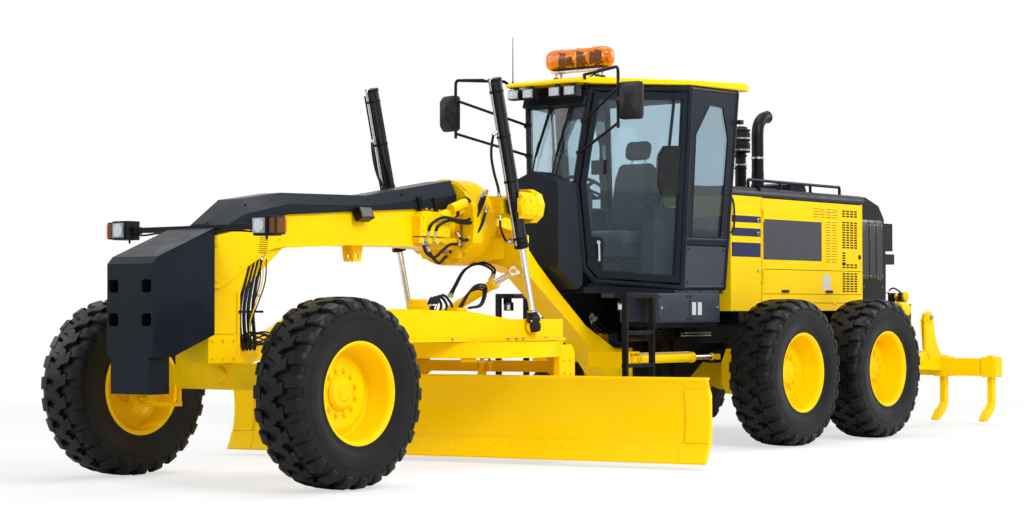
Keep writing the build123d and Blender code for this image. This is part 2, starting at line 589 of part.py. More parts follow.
def rear_frame():
    low, high = HITCH_HUB_Z
    plates = block((-150, 150), (4650, 5150), (high + 10, high + 50))
    plates = plates + block((-150, 150), (4650, 5150), (low - 50, low - 10))
    web = block((-RAIL_X[1] + 25, RAIL_X[1] - 25), (4960, 5150), (low - 50, high + 50))
    pin = bar((0, HITCH_Y, low - 60), (0, HITCH_Y, high + 60), HITCH_PIN_R)
    rail = along_x([(5100, low - 50), (5250, low - 50), (5700, RAIL_Z[0]), (REAR_PLATE_Y[0], RAIL_Z[0]),
                    (REAR_PLATE_Y[0], RAIL_Z[1]), (5300, RAIL_Z[1]), (5100, high + 50)], RAIL_X)
    frame = plates + web + pin + both(rail)
    for y in (5350, 5900, 7600, 8700):
        frame = frame + block((-RAIL_X[0], RAIL_X[0]), (y, y + 120), RAIL_Z)
    x, y, z = FRAME_CYLINDER_X, FRAME_PIN_REAR_Y, FRAME_CYLINDER_Z
    ears = block((x - 50, x + 50), (y - 60, y + 140), (z + 35, z + 55))
    ears = ears + block((x - 50, x + 50), (y - 60, y + 140), (z - 55, z - 35))
    ears = ears + block((RAIL_X[0] + 20, x + 50), (y + 85, y + 160), (z - 55, 900))
    saddle = block(RAIL_X, (6400, 6590), (TYRE_R + AXLE_TUBE_R + PIN_GAP, RAIL_Z[0]))
    posts = block((RAIL_X[0], 420), (5200, 5320), (RAIL_Z[1] - 60, FLOOR_Z[0]))
    posts = posts + block((200, 300), (4970, 5140), (high + 50, FLOOR_Z[0]))
    hood_feet = block((RAIL_X[0], HOOD_HALF), (5700, 5780), (RAIL_Z[1] - 40, HOOD_Z[0]))
    hood_feet = hood_feet + block((RAIL_X[0], HOOD_HALF), (7800, 7880), (RAIL_Z[1] - 40, HOOD_Z[0]))
    engine_feet = block(RAIL_X, (6200, 6300), (RAIL_Z[1], 1150)) + block(RAIL_X, (7100, 7200), (RAIL_Z[1], 1150))
    rear_plate = block((-RIPPER_ARM_X - 60, RIPPER_ARM_X + 60), REAR_PLATE_Y, (540, 1250))
    y0, z0 = RIPPER_PIVOT
    ears_low = along_x([(REAR_PLATE_Y[1], z0 - 70), (y0 + 50, z0 - 45), (y0 + 50, z0 + 45),
                        (REAR_PLATE_Y[1], z0 + 90)], (RIPPER_ARM_X - 62, RIPPER_ARM_X - 32))
    ears_low = ears_low + Pos(94, 0, 0) * ears_low
    pin_low = bar((RIPPER_ARM_X - 62, y0, z0), (RIPPER_ARM_X + 62, y0, z0), 25)
    y1, z1 = RIPPER_CYLINDER_TOP
    ears_top = along_x([(REAR_PLATE_Y[0], 1240), (REAR_PLATE_Y[1], 1200), (y1 + 45, z1 - 10), (y1 + 30, z1 + 42),
                        (REAR_PLATE_Y[0], z1 + 42)], (RIPPER_CYLINDER_X - 68, RIPPER_CYLINDER_X - 46))
    ears_top = ears_top + Pos(114, 0, 0) * ears_top
    pin_top = bar((RIPPER_CYLINDER_X - 68, y1, z1), (RIPPER_CYLINDER_X + 68, y1, z1), 20)
    mounts = ears + saddle + posts + hood_feet + engine_feet + ears_low + pin_low + ears_top + pin_top
    return frame + rear_plate + both(mounts)


def tandem_drive():
    """The rear axle with its two chain cases and the stubs that carry the wheels."""
    axle = bar((-570, 6495, TYRE_R), (570, 6495, TYRE_R), AXLE_TUBE_R)
    final = bar((0, 6360, TYRE_R), (0, 6640, TYRE_R), 190)
    case = along_x([(5480, 560), (5560, 450), (7430, 450), (7510, 560), (7510, 730), (7430, 850),
                    (5560, 850), (5480, 730)], (560, 800))
    stubs = None
    for y in TANDEM_AXLES:
        stub = bar((790, y, TYRE_R), (HUB_FACE_X, y, TYRE_R), 110)
        stub = stub + bar((HUB_FACE_X - 1, y, TYRE_R), (NOSE_END_X, y, TYRE_R), NOSE_R)
        stubs = stub if stubs is None else stubs + stub
    return axle + final + both(case + stubs)


def engine():
    return block((-350, 350), (6100, 7300), (1150, 2000))


# Hood ----------------------------------------------------------------------------------------------

def hood_shell():
    (y0, y1), (z0, z1), wall = HOOD_Y, HOOD_Z, HOOD_WALL
    shell = block((-HOOD_HALF, HOOD_HALF), (y0, y1), (z0, z1))
    shell = shell - block((-HOOD_HALF + wall, HOOD_HALF - wall), (y0 + wall, y1 - wall), (z0 - 5, z1 + 5))
    gap = 5
    opening = ((HOOD_HALF - wall - 5, HOOD_HALF + 5), (DOOR_Y[0] - gap, DOOR_Y[1] + gap),
               (DOOR_Z[0] - gap, z1 + 5))
    side = block(*opening)
    hinges = None
    x, y = DOOR_HINGE
    for z in ENGINE_HINGE_ZS:
        for low in (z - 60, z + 41):
            tab = block((HOOD_HALF - 1, x + 6), (DOOR_Y[0] - gap - 20, DOOR_Y[0] - gap), (low, low + 19))
            tab = tab + block((HOOD_HALF + 2, x + 6), (DOOR_Y[0] - gap - 1, y), (low, low + 19))
            hinges = tab if hinges is None else hinges + tab
        hinges = hinges + bar((x, y, z - 60), (x, y, z + 60), 5)
    return shell - both(side) + both(hinges)


def engine_door():
    (y0, y1), (z0, z1) = DOOR_Y, DOOR_Z
    skin = block((HOOD_HALF - HOOD_WALL, HOOD_HALF), (y0, y1), (z0, z1))
    x, y = DOOR_HINGE
    for z in ENGINE_HINGE_ZS:
        skin = skin + block((HOOD_HALF - 1, x), (y, y + 12), (z - 40, z + 40))
        skin = skin + bar((x, y, z - 40), (x, y, z + 40), 9) - bar((x, y, z - 60), (x, y, z + 60), 5 + PIN_GAP)
    return skin


def hood_top():
    top = block((-HOOD_HALF, HOOD_HALF), (HOOD_Y[0], GUARD_Y[0] + 60), (HOOD_Z[1], HOOD_TOP_Z))
    long_edges = top.edges().filter_by(Axis.Y).sort_by(Axis.Z)[-2:]
    return fillet(long_edges, 70)


def radiator_guard():
    (y0, y1), (z0, z1) = GUARD_Y, (1120, 2205)
    half = HOOD_HALF - 15
    shell = block((-half, half), (y0, y1), (z0, z1))
    shell = shell - block((-half + 25, half - 25), (y0 - 5, y1 - 25), (z0 - 5, z1 - 25))
    window = block((-half + 80, half - 80), (y1 - 30, y1 + 5), (z0 + 80, z1 - 90))
    bars = None
    for i in range(11):
        x = (i - 5) * 92
        rib = block((x - 12, x + 12), (y1 - 22, y1 - 4), (z0 + 70, z1 - 80))
        bars = rib if bars is None else bars + rib
    plate_box = block((400, 560), (y1 - 5, y1 + 170), (1772, 2050))
    lamp = block((470, 560), (y1 - 5, y1 + 205), (1640, 1746))
    return shell - window + bars + both(plate_box + lamp)


def hood_stacks():
    """The exhaust pipe with its swept end, and the intake's pre-cleaner beside it."""
    bottom = HOOD_TOP_Z
    pipe = bar((250, 6600, bottom), (250, 6600, 2860), 55)
    curve = Plane(origin=(250, 6600, 2860), z_dir=(0, 0, 1)) * Circle(55)
    elbow = revolve(curve, axis=Axis((250, 6720, 2860), (-1, 0, 0)), revolution_arc=62)
    stem = bar((-50, 6780, bottom), (-50, 6780, 2760), 48)
    bowl = bar((-50, 6780, 2640), (-50, 6780, 2900), 88) + bar((-50, 6780, 2900), (-50, 6780, 2935), 60)
    return pipe + elbow + stem + bowl


# Cab -----------------------------------------------------------------------------------------------

def right_of(point):
    return (-point[0], point[1], point[2])


def side_point(y, z):
    """A point on the cab's side, which flares outwards from the sill to the roof."""
    (x0, _, z0), (x1, _, z1) = CAB_SILL_MIDDLE, CAB_TOP_MIDDLE
    return (x0 + (x1 - x0) * (z - z0) / (z1 - z0), y, z)


DOOR_CORNERS = [CAB_SILL_FRONT, CAB_SILL_MIDDLE, CAB_TOP_MIDDLE, CAB_TOP_FRONT, CAB_KNEE, CAB_LOW_FRONT]
WINDSHIELD = [right_of(CAB_KNEE), CAB_KNEE, CAB_TOP_FRONT, right_of(CAB_TOP_FRONT)]
LOWER_FRONT = [right_of(CAB_LOW_FRONT), CAB_LOW_FRONT, CAB_KNEE, right_of(CAB_KNEE)]
QUARTER = [side_point(4785, 1800), side_point(5462, 1800), CAB_TOP_REAR, CAB_TOP_MIDDLE]
QUARTER_PANEL = [CAB_SILL_MIDDLE, CAB_SILL_REAR, side_point(5462, 1800), side_point(4785, 1800)]
REAR_LOW = side_point(5472, 2000)
REAR_WINDOW = [REAR_LOW, right_of(REAR_LOW), right_of(CAB_TOP_REAR), CAB_TOP_REAR]
REAR_PANEL = [CAB_SILL_REAR, right_of(CAB_SILL_REAR), right_of(REAR_LOW), REAR_LOW]


def post(start, end, radius=24):
    """A round post with rounded ends, so that posts meet without a notch."""
    return bar(start, end, radius) + Pos(*start) * Sphere(radius) + Pos(*end) * Sphere(radius)


def cab_frame():
    side = post(CAB_SILL_MIDDLE, CAB_TOP_MIDDLE, POST_R) + post(CAB_SILL_REAR, CAB_TOP_REAR, POST_R)
    side = side + post(CAB_KNEE, CAB_TOP_FRONT) + post(CAB_KNEE, CAB_LOW_FRONT)
    side = side + post(CAB_LOW_FRONT, CAB_SILL_FRONT) + post(CAB_SILL_FRONT, CAB_SILL_MIDDLE)
    side = side + post(CAB_TOP_FRONT, CAB_TOP_MIDDLE) + post(CAB_TOP_MIDDLE, CAB_TOP_REAR)
    side = side + post(CAB_SILL_MIDDLE, CAB_SILL_REAR) + post(QUARTER[0], QUARTER[1])
    side = side + panel(QUARTER_PANEL, (-20, 0))
    frame = both(side)
    for point in (CAB_KNEE, CAB_TOP_FRONT, CAB_LOW_FRONT, CAB_SILL_REAR, REAR_LOW, CAB_TOP_REAR):
        frame = frame + post(point, right_of(point))
    frame = frame + panel(LOWER_FRONT, (-12, 0)) + panel(REAR_PANEL, (-20, 0))
    half = [(250, 3860), (279, 3974), (600, 4785), (600, 5444)]
    floor = along_z(half + [right_of((*p, 0))[:2] for p in reversed(half)], FLOOR_Z)
    return frame + floor


def cab_glass():
    """Fixed panes: windshield, rear quarters and rear window."""
    inset = 24 + FIT_GAP
    quarter = panel(QUARTER, (-GLASS / 2, GLASS / 2), POST_R + 1.5)
    panes = panel(WINDSHIELD, (-GLASS / 2, GLASS / 2), inset)
    return panes + panel(REAR_WINDOW, (-GLASS / 2, GLASS / 2), POST_R + FIT_GAP) + both(quarter)


def cab_door():
    """The left door's frame and its pane, with the handle at the lower front."""
    outer = panel(DOOR_CORNERS, (-12, 26), DOOR_INSET)
    frame = outer - panel(DOOR_CORNERS, (-20, 40), DOOR_INSET + DOOR_BORDER)
    pane = panel(DOOR_CORNERS, (4, 4 + GLASS), DOOR_INSET + DOOR_BORDER + FIT_GAP)
    post_foot, forward = Vector(*CAB_SILL_MIDDLE), Vector(*CAB_SILL_FRONT) - Vector(*CAB_SILL_MIDDLE)
    axis = (Vector(*CAB_TOP_MIDDLE) - post_foot).normalized()
    forward = (forward - axis * forward.dot(axis)).normalized()
    for height in DOOR_HINGES:
        low, high = post_foot + axis * (height - 40), post_foot + axis * (height + 40)
        near, far = forward * (POST_R + PIN_GAP), forward * (DOOR_INSET + 20)
        leaf = panel([tuple(p) for p in (low + far, low + near, high + near, high + far)], (-7, 7))
        frame = frame + leaf
    return frame, pane


def cab_roof():
    """A shallow roof, higher at the back, that overhangs the windshield."""
    side = along_x([(3617, 3068), (3617, 3098), (3690, 3120), (4790, 3158), (5600, 3195), (5690, 3180),
                    (5690, 3128), (5514, 3128), (4786, 3117), (3845, 3074)], (-760, 760))
    half = [(387, 3617), (720, 4790), (750, 5600), (730, 5690)]
    plan = along_z(half + [right_of((*p, 0))[:2] for p in reversed(half)], (3000, 3300))
    return side & plan


def cab_cowl():
    """The front console's box below the windshield."""
    body = along_x([(3485, 1545), (3485, 2347), (3732, 2347), (3732, 2240), (3827, 1537), (3827, 1400),
                    (3757, 1365)], (-262, 262))
    crown = along_y([(-262, 1300), (262, 1300), (262, 2245), (0, 2347), (-262, 2245)], (3400, 3900))
    return body & crown


def operator_seat():
    base = block((-190, 190), (4480, 4860), (FLOOR_Z[1], 1760))
    cushion = block((-250, 250), (4400, 4900), (1760, 1880))
    back = along_x([(4850, 1870), (4960, 2500), (5060, 2500), (4970, 1870)], (-240, 240))
    head = along_x([(4985, 2500), (5010, 2690), (5090, 2690), (5070, 2500)], (-140, 140))
    rest = block((255, 320), (4560, 4930), (2040, 2090)) + block((240, 300), (4860, 4940), (1840, 2060))
    return base + cushion + back + head + both(rest)


def cab_controls():
    """Steering column and wheel, and the consoles beside the seat."""
    column = bar((0, 4004, FLOOR_Z[1] - 30), (0, 4130, 2130), 45)
    dash = along_x([(3960, 1880), (3990, 2150), (4120, 2190), (4120, 1900)], (-150, 150))
    lean = Plane(origin=(0, 4210, 2240), z_dir=(0, 0.5, 1))
    wheel = lean * (Torus(185, 15) + Cylinder(40, 30))
    for angle in (90, 210, 330):
        wheel = wheel + lean * Rot(0, 0, angle) * (Pos(92, 0, 0) * Box(184, 26, 12))
    stem = bar((0, 4100, 2050), (0, 4210, 2240), 26)
    console = block((350, 470), (4560, 5150), (FLOOR_Z[1], 2000))
    lever = bar((410, 4620, 1990), (410, 4600, 2160), 12)
    pedals = block((90, 170), (3990, 4010), (FLOOR_Z[1], 1560))
    controls = column + dash + stem + wheel + both(console + lever) + pedals
    return controls - block((-300, 300), (3900, 4400), (FLOOR_Z[1] - 100, FLOOR_Z[1]))


def side_boxes_and_steps():
    """Tanks under the cab floor, the platform with its ladder, and the rail along the hood."""
    high = FLOOR_Z[0]
    box = block((440, 610), (4400, 5380), (1086, high))
    deck = block((375, 690), (3850, 4300), (high - 40, high))
    deck = deck - block((370, 565), (3840, 3930), (high - 50, high + 10))
    box = box + deck + block((440, 610), (4290, 4410), (high - 40, high))
    for y in (3850, 4235):
        box = box + block((640, 690), (y, y + 30), (450, high - 10))
    for z in (450, 720, 990):
        box = box + block((634, 690), (3850, 4265), (z, z + 30))
    return both(box)


def hood_rail():
    """A low rail on each side of the hood's top."""
    x, z = HOOD_HALF - 110, HOOD_TOP_Z
    rail = bar((x, 6050, z + 75), (x, 7700, z + 75), 14)
    for y in (6050, 6600, 7150, 7700):
        rail = rail + bar((x, y, z - 1), (x, y, z + 75), 14)
    return both(rail)


def roof_lights_and_mirrors():
    """Four work lamps, the beacon bar, the aerial and the two mirrors on their arms."""
    lamps = None
    for x in (138, 294):
        foot = block((x - 12, x + 12), (3625, 3655), (3040, 3070))
        lamp = block((x - 58, x + 58), (3600, 3668), (2972, 3050)) + foot
        lamps = lamp if lamps is None else lamps + lamp
    feet = block((200, 240), (4090, 4190), (3130, BEACON_Z[0] + 15))
    beacon = block((-BEACON_HALF, BEACON_HALF), (4065, 4235), BEACON_Z)
    mirror_arm = post((335, 3830, 2930), (560, 3600, 3120), 14) + post((560, 3600, 3120), (955, 3545, 3120), 14)
    mirror_arm = mirror_arm + post((955, 3545, 3120), (955, 3545, 2700), 14)
    mirror_arm = mirror_arm + post((290, 3780, 2560), (955, 3545, 2740), 14)
    glass = block((845, 1065), (3555, 3600), (2730, 3030)) + block((930, 980), (3540, 3560), (2850, 2910))
    aerial = bar((-360, 3660, 3105), (-360, 3660, 3500), 4)
    return both(lamps + feet + mirror_arm + glass) + beacon + aerial


# Ripper --------------------------------------------------------------------------------------------

def ripper():
    """Two arms, a cross beam with towers, and five shanks."""
    y0, z0 = RIPPER_PIVOT
    x = RIPPER_ARM_X
    arm = bar((x - 26, y0, z0), (x + 26, y0, z0), 48)
    arm = arm + along_x([(y0, z0 - 40), (y0, z0 + 40), (9420, 790), (9560, 800), (9720, 690), (9720, 560)],
                        (x - 24, x + 24))
    tower = along_x(RIPPER_TOWER, (x - 14, x + 14))
    fy, fz = RIPPER_CYLINDER_FOOT
    stub = bar((RIPPER_CYLINDER_X + 34, fy, fz), (x, fy, fz), 22)
    bore = bar((x - 60, y0, z0), (x + 60, y0, z0), 25 + FIT_GAP)
    frame = both(arm + tower + stub - bore)
    frame = frame + block((-RIPPER_BEAM_HALF, RIPPER_BEAM_HALF), RIPPER_BEAM_Y, RIPPER_BEAM_Z)
    mid = (RIPPER_BEAM_Y[0] + RIPPER_BEAM_Y[1]) / 2
    high = RIPPER_BEAM_Z[1] + 30
    tip_y, tip_z = SHANK_TIP
    for sx in SHANK_XS:
        shank = along_x([(mid - 40, high), (mid + 40, high), (mid + 40, SHANK_KNEE), (mid, SHANK_KNEE - 90),
                         (tip_y + 62, tip_z), (tip_y, tip_z), (tip_y - 5, tip_z + 12), (mid - 40, SHANK_KNEE)],
                        (sx - 28, sx + 28))
        socket = block((sx - 62, sx + 62), (RIPPER_BEAM_Y[0] - 25, RIPPER_BEAM_Y[1] + 30),
                       (RIPPER_BEAM_Z[0] - 10, RIPPER_BEAM_Z[1] + 15))
        frame = frame + socket + shank
    return frame


def ripper_cylinder():
    x = RIPPER_CYLINDER_X
    top, foot = Vector(x, *RIPPER_CYLINDER_TOP), Vector(x, *RIPPER_CYLINDER_FOOT)
    along = (foot - top).normalized()
    gland = top + along * 474
    barrel = bar((x - 28, *RIPPER_CYLINDER_TOP), (x + 28, *RIPPER_CYLINDER_TOP), 36) + bar(top, gland, 40)
    barrel = barrel - bar(top + along * 66, top + along * 446, 32)
    barrel = barrel - bar(top + along * 440, top + along * 500, 20 + FIT_GAP)
    barrel = barrel - bar((x - 60, *RIPPER_CYLINDER_TOP), (x + 60, *RIPPER_CYLINDER_TOP), 20 + FIT_GAP)
    rod = bar(top + along * 282, foot, 20) + bar(top + along * 282, top + along * 308, 31)
    rod = rod + bar((x - 28, *RIPPER_CYLINDER_FOOT), (x + 28, *RIPPER_CYLINDER_FOOT), 30)
    return both(barrel), both(rod)


# Every piece, by the name of its node --------------------------------------------------------------

wheels()
for name, side in SIDES.items():
    parts[f"lean_bracket_{name}"] = on(side, lean_bracket())
    parts[f"steering_knuckle_{name}"] = on(side, knuckle())
    barrel, rod = frame_cylinder()
    parts[f"frame_cylinder_barrel_{name}"] = on(side, barrel)
    parts[f"frame_cylinder_rod_{name}"] = on(side, rod)
    door, pane = cab_door()
    parts[f"cab_door_{name}"] = on(side, door)
    parts[f"cab_door_glass_{name}"] = on(side, pane)
    parts[f"engine_door_{name}"] = on(side, engine_door())

parts["front_axle"] = front_axle()
parts["tie_rod"] = tie_rod()
parts["front_frame"] = front_frame()
parts["counterweight"] = counterweight()
parts["hose_cover"] = hose_cover()
parts["headlamps"] = headlamps()
parts["lift_barrels"] = lift_barrels()
parts["lift_rods"] = lift_rods()
parts["shift_rod"], parts["shift_barrel"] = shift_cylinder()
parts["drawbar"] = drawbar()
parts["circle"] = turned_to_rest(circle())
parts["blade_bracket"] = turned_to_rest(blade_bracket())
parts["moldboard"] = turned_to_rest(moldboard())
parts["tip_barrel"], parts["tip_rod"] = tip_cylinder()
parts["rear_frame"] = rear_frame()
parts["tandem_drive"] = tandem_drive()
parts["engine"] = engine()
parts["hood_shell"] = hood_shell()
parts["hood_top"] = hood_top() + hood_rail()
parts["radiator_guard"] = radiator_guard()
parts["hood_stacks"] = hood_stacks()
parts["cab_frame"] = cab_frame()
parts["cab_glass"] = cab_glass()
parts["cab_roof"] = cab_roof()
parts["cab_cowl"] = cab_cowl()
parts["operator_seat"] = operator_seat()
parts["cab_controls"] = cab_controls()
parts["side_boxes_and_steps"] = side_boxes_and_steps()
parts["roof_lights_and_mirrors"] = roof_lights_and_mirrors() - cab_roof() - cab_frame()
parts["ripper"] = ripper()
parts["ripper_barrels"], parts["ripper_rods"] = ripper_cylinder()

os.makedirs("parts", exist_ok=True)
for name, shape in parts.items():
    export_step(Pos(0, -MIDDLE_Y, 0) * shape, f"parts/{name}.step")
print(len(parts), "nodes")
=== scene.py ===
import json
import random
from math import atan2, copysign, cos, pi, radians, sin, tau

import bmesh
import bpy
from mathutils import Matrix, Vector


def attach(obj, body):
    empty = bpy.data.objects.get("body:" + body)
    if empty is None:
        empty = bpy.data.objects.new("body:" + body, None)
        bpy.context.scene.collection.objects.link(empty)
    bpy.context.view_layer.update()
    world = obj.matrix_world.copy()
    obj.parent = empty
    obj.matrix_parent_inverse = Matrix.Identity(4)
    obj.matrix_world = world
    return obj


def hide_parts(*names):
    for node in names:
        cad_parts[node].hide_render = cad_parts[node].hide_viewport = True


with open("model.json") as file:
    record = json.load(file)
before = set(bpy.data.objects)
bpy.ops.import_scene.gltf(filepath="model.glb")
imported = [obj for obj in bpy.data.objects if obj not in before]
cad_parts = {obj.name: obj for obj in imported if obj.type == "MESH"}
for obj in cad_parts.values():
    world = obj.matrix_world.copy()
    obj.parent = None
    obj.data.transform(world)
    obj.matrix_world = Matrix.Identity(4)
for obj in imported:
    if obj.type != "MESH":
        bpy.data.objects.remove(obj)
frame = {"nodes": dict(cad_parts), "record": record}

# Motor grader. Lengths are in millimetres from the front axle: x to the machine's left, y to the rear, z up.
# The pieces are turned into metres in the shared frame when they are finished.
MIDDLE_Y = 4495
UNIT = 0.001
TO_FRAME = Matrix.Scale(UNIT, 4) @ Matrix.Translation((0, -MIDDLE_Y, 0))
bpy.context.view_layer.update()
SIDES = {"left": 1, "right": -1}
OUT, BACK, UP, AHEAD = (1, 0, 0), (0, 1, 0), (0, 0, 1), (0, -1, 0)
AS_IS, MIRROR = Matrix.Identity(4), Matrix.Scale(-1, 4, OUT)
BODY_OF = {n: b for b, nodes in frame["record"]["behaviour"]["bodies"].items() for n in nodes}


# Camera and light -----------------------------------------------------------------------------------

CAMERA_AT = (10877, -10573, 1198)
CAMERA_LENS, CAMERA_SENSOR = 75.6, 36.0
CAMERA_YAW, CAMERA_PITCH, CAMERA_ROLL = radians(38.28), radians(1.313), radians(-0.11)
# Each lamp: its place, its width and its power; all of them face the middle of the floor
LAMPS = {"key": ((11.5, -5.0, 8.8), 6.5, 1250), "fill": ((-10.0, -8.0, 6.0), 7.0, 340),
         "top": ((0.0, 0.0, 12.0), 8.0, 620), "back": ((6.0, 11.0, 7.0), 6.0, 420)}


def place_in_scene(name, data):
    """A new object with this data, in the scene."""
    obj = bpy.data.objects.new(name, data)
    bpy.context.scene.collection.objects.link(obj)
    return obj


class Graph:
    """The nodes of a material or world, with short ways to add and join them."""

    def __init__(self, owner):
        owner.use_nodes = True
        self.tree = owner.node_tree
        self.tree.nodes.clear()

    def add(self, kind, inputs=(), **settings):
        """A node, its settings, and its inputs: each a number, a colour or another node's output."""
        node = self.tree.nodes.new("ShaderNode" + kind)
        for key, value in settings.items():
            setattr(node, key, value)
        for key, value in dict(inputs).items():
            if hasattr(value, "links"):
                self.tree.links.new(value, node.inputs[key])
            else:
                node.inputs[key].default_value = (*value, 1) if isinstance(value, tuple) else value
        return node

    def math(self, operation, first, second):
        """The result of one sum, product, power or comparison."""
        return self.add("Math", {0: first, 1: second}, operation=operation).outputs[0]

    def noise(self, scale, detail=3.0, rough=0.5):
        """Noise over the shader's place, from 0 to 1."""
        inputs = {"Vector": self.place, "Scale": scale, "Detail": detail, "Roughness": rough}
        return self.add("TexNoise", inputs).outputs["Fac"]

    def ramp(self, value, low=0, high=1, start=0.35, end=0.65):
        """A value from start to end, turned into low to high."""
        inputs = {"Value": value, "From Min": start, "From Max": end, "To Min": low, "To Max": high}
        return self.add("MapRange", inputs).outputs["Result"]

    def blend(self, factor, first, second):
        """A colour between two colours."""
        return self.add("Mix", {"Factor": factor, "A": first, "B": second}, data_type="RGBA").outputs["Result"]

    def bump(self, height, strength, distance):
        """A surface normal, raised by a height."""
        return self.add("Bump", {"Height": height, "Strength": strength, "Distance": distance}).outputs["Normal"]

    def mix(self, factor, first, second):
        """A shader between two shaders."""
        return self.add("MixShader", {"Fac": factor, 1: first.outputs[0], 2: second.outputs[0]})


def make_camera():
    """The camera that was solved from the photograph."""
    data = bpy.data.cameras.new("camera")
    data.sensor_width, data.lens = CAMERA_SENSOR, CAMERA_LENS
    data.clip_start, data.clip_end = 0.1, 200
    camera = place_in_scene("camera", data)
    level = cos(CAMERA_PITCH)
    forward = Vector((-sin(CAMERA_YAW) * level, cos(CAMERA_YAW) * level, sin(CAMERA_PITCH)))
    turn = forward.to_track_quat("-Z", "Y").to_matrix().to_4x4() @ Matrix.Rotation(CAMERA_ROLL, 4, "Z")
    camera.matrix_world = Matrix.Translation(TO_FRAME @ Vector(CAMERA_AT)) @ turn
    bpy.context.scene.camera = camera


def make_lights():
    """Soft grey-blue light all round, white where the camera looks past the floor, and four wide lamps."""
    world = bpy.data.worlds.new("studio")
    bpy.context.scene.world = world
    graph = Graph(world)
    ray = graph.add("LightPath").outputs
    seen = graph.math("MAXIMUM", ray["Is Camera Ray"], ray["Is Transmission Ray"])
    seen = graph.math("MAXIMUM", seen, ray["Is Glossy Ray"])
    soft = graph.add("Background", {"Color": (0.93, 0.96, 1), "Strength": 0.55})
    white = graph.add("Background", {"Color": (1, 1, 1), "Strength": 1.0})
    graph.add("OutputWorld", {"Surface": graph.mix(seen, soft, white).outputs[0]})
    for name, (spot, size, power) in LAMPS.items():
        data = bpy.data.lights.new(name, "AREA")
        data.shape, data.size, data.energy = "DISK", size, power
        lamp = place_in_scene(name, data)
        lamp.location = spot
        lamp.rotation_mode = "QUATERNION"
        lamp.rotation_quaternion = (-Vector(spot)).to_track_quat("-Z", "Y")


# Materials ------------------------------------------------------------------------------------------

def new_material(name):
    """A material under a slot's name, and its empty graph."""
    mat = bpy.data.materials.new(name)
    graph = Graph(mat)
    graph.place = graph.add("TexCoord").outputs["Object"]
    return mat, graph


def show(mat, graph, shader):
    """The material with this shader on its surface."""
    graph.add("OutputMaterial", {"Surface": shader.outputs[0]})
    return mat


def solid(name, colour, second, patch=2.0, rough=(0.25, 0.36), grain=(500, 0.05, 0.0006), metallic=0.0,
          coat=0.0, dust=None, shine=0.2):
    """A finish whose colour and roughness drift in patches, with fine grain; dust gathers low down."""
    mat, graph = new_material(name)
    base = graph.blend(graph.ramp(graph.noise(patch, 5)), colour, second)
    if dust:
        dust_colour, share, height = dust
        split = graph.add("SeparateXYZ", {0: graph.place})
        level = graph.ramp(split.outputs["Z"], share, 0, 0.0, height)
        level = graph.math("MULTIPLY", level, graph.ramp(graph.noise(9, 6, 0.6), 0.2, 1.0))
        base = graph.blend(level, base, dust_colour)
    gloss = graph.ramp(graph.noise(6.5, 4), *rough)
    scale, strength, depth = grain
    normal = graph.bump(graph.noise(scale, 2), strength, depth)
    return show(mat, graph, graph.add("BsdfPrincipled", {
        "Base Color": base, "Roughness": gloss, "Metallic": metallic, "Normal": normal, "Coat Weight": coat,
        "Coat Roughness": 0.06, "Specular IOR Level": shine}))


def pane(name, tint, gloss, haze_and_reflection, haze_and_reflection_colour):
    """Tinted clear sheet: it lets light through, and reflects by its angle on its front."""
    mat, graph = new_material(name)
    clear = graph.add("BsdfTransparent", {"Color": tint})
    # A diffuse veil mixed into the clear part: on the cab's window glass it is painted reflection, a blue-grey film
    # in place of the reflections that grey the panes; on the lamp lenses it gives the lens its colour.
    haze_and_reflection_veil = graph.add("BsdfDiffuse", {"Color": haze_and_reflection_colour})
    shine = graph.add("BsdfGlossy", {"Roughness": graph.ramp(graph.noise(3), gloss, gloss + 0.03)})
    fresnel = graph.add("Fresnel", {"IOR": 1.5})
    front = graph.math("SUBTRACT", 1, graph.add("NewGeometry").outputs["Backfacing"])
    share = graph.math("MULTIPLY", front, fresnel.outputs[0])
    return show(mat, graph, graph.mix(share, graph.mix(haze_and_reflection, clear, haze_and_reflection_veil), shine))


def woven(name, colour, second):
    """Seat cloth: crossed threads with sheen."""
    mat, graph = new_material(name)
    threads = [graph.add("TexWave", {"Scale": 130, "Distortion": 0.6, "Vector": graph.place},
                         bands_direction=direction).outputs["Fac"] for direction in ("X", "Z")]
    cross = graph.math("MULTIPLY", *threads)
    base = graph.blend(graph.ramp(graph.noise(14, 4)), colour, second)
    base = graph.blend(cross, base, tuple(c * 1.8 for c in colour))
    normal = graph.bump(cross, 0.35, 0.0008)
    return show(mat, graph, graph.add("BsdfPrincipled", {"Base Color": base, "Roughness": 0.85, "Normal": normal,
                                                        "Sheen Weight": 0.35}))


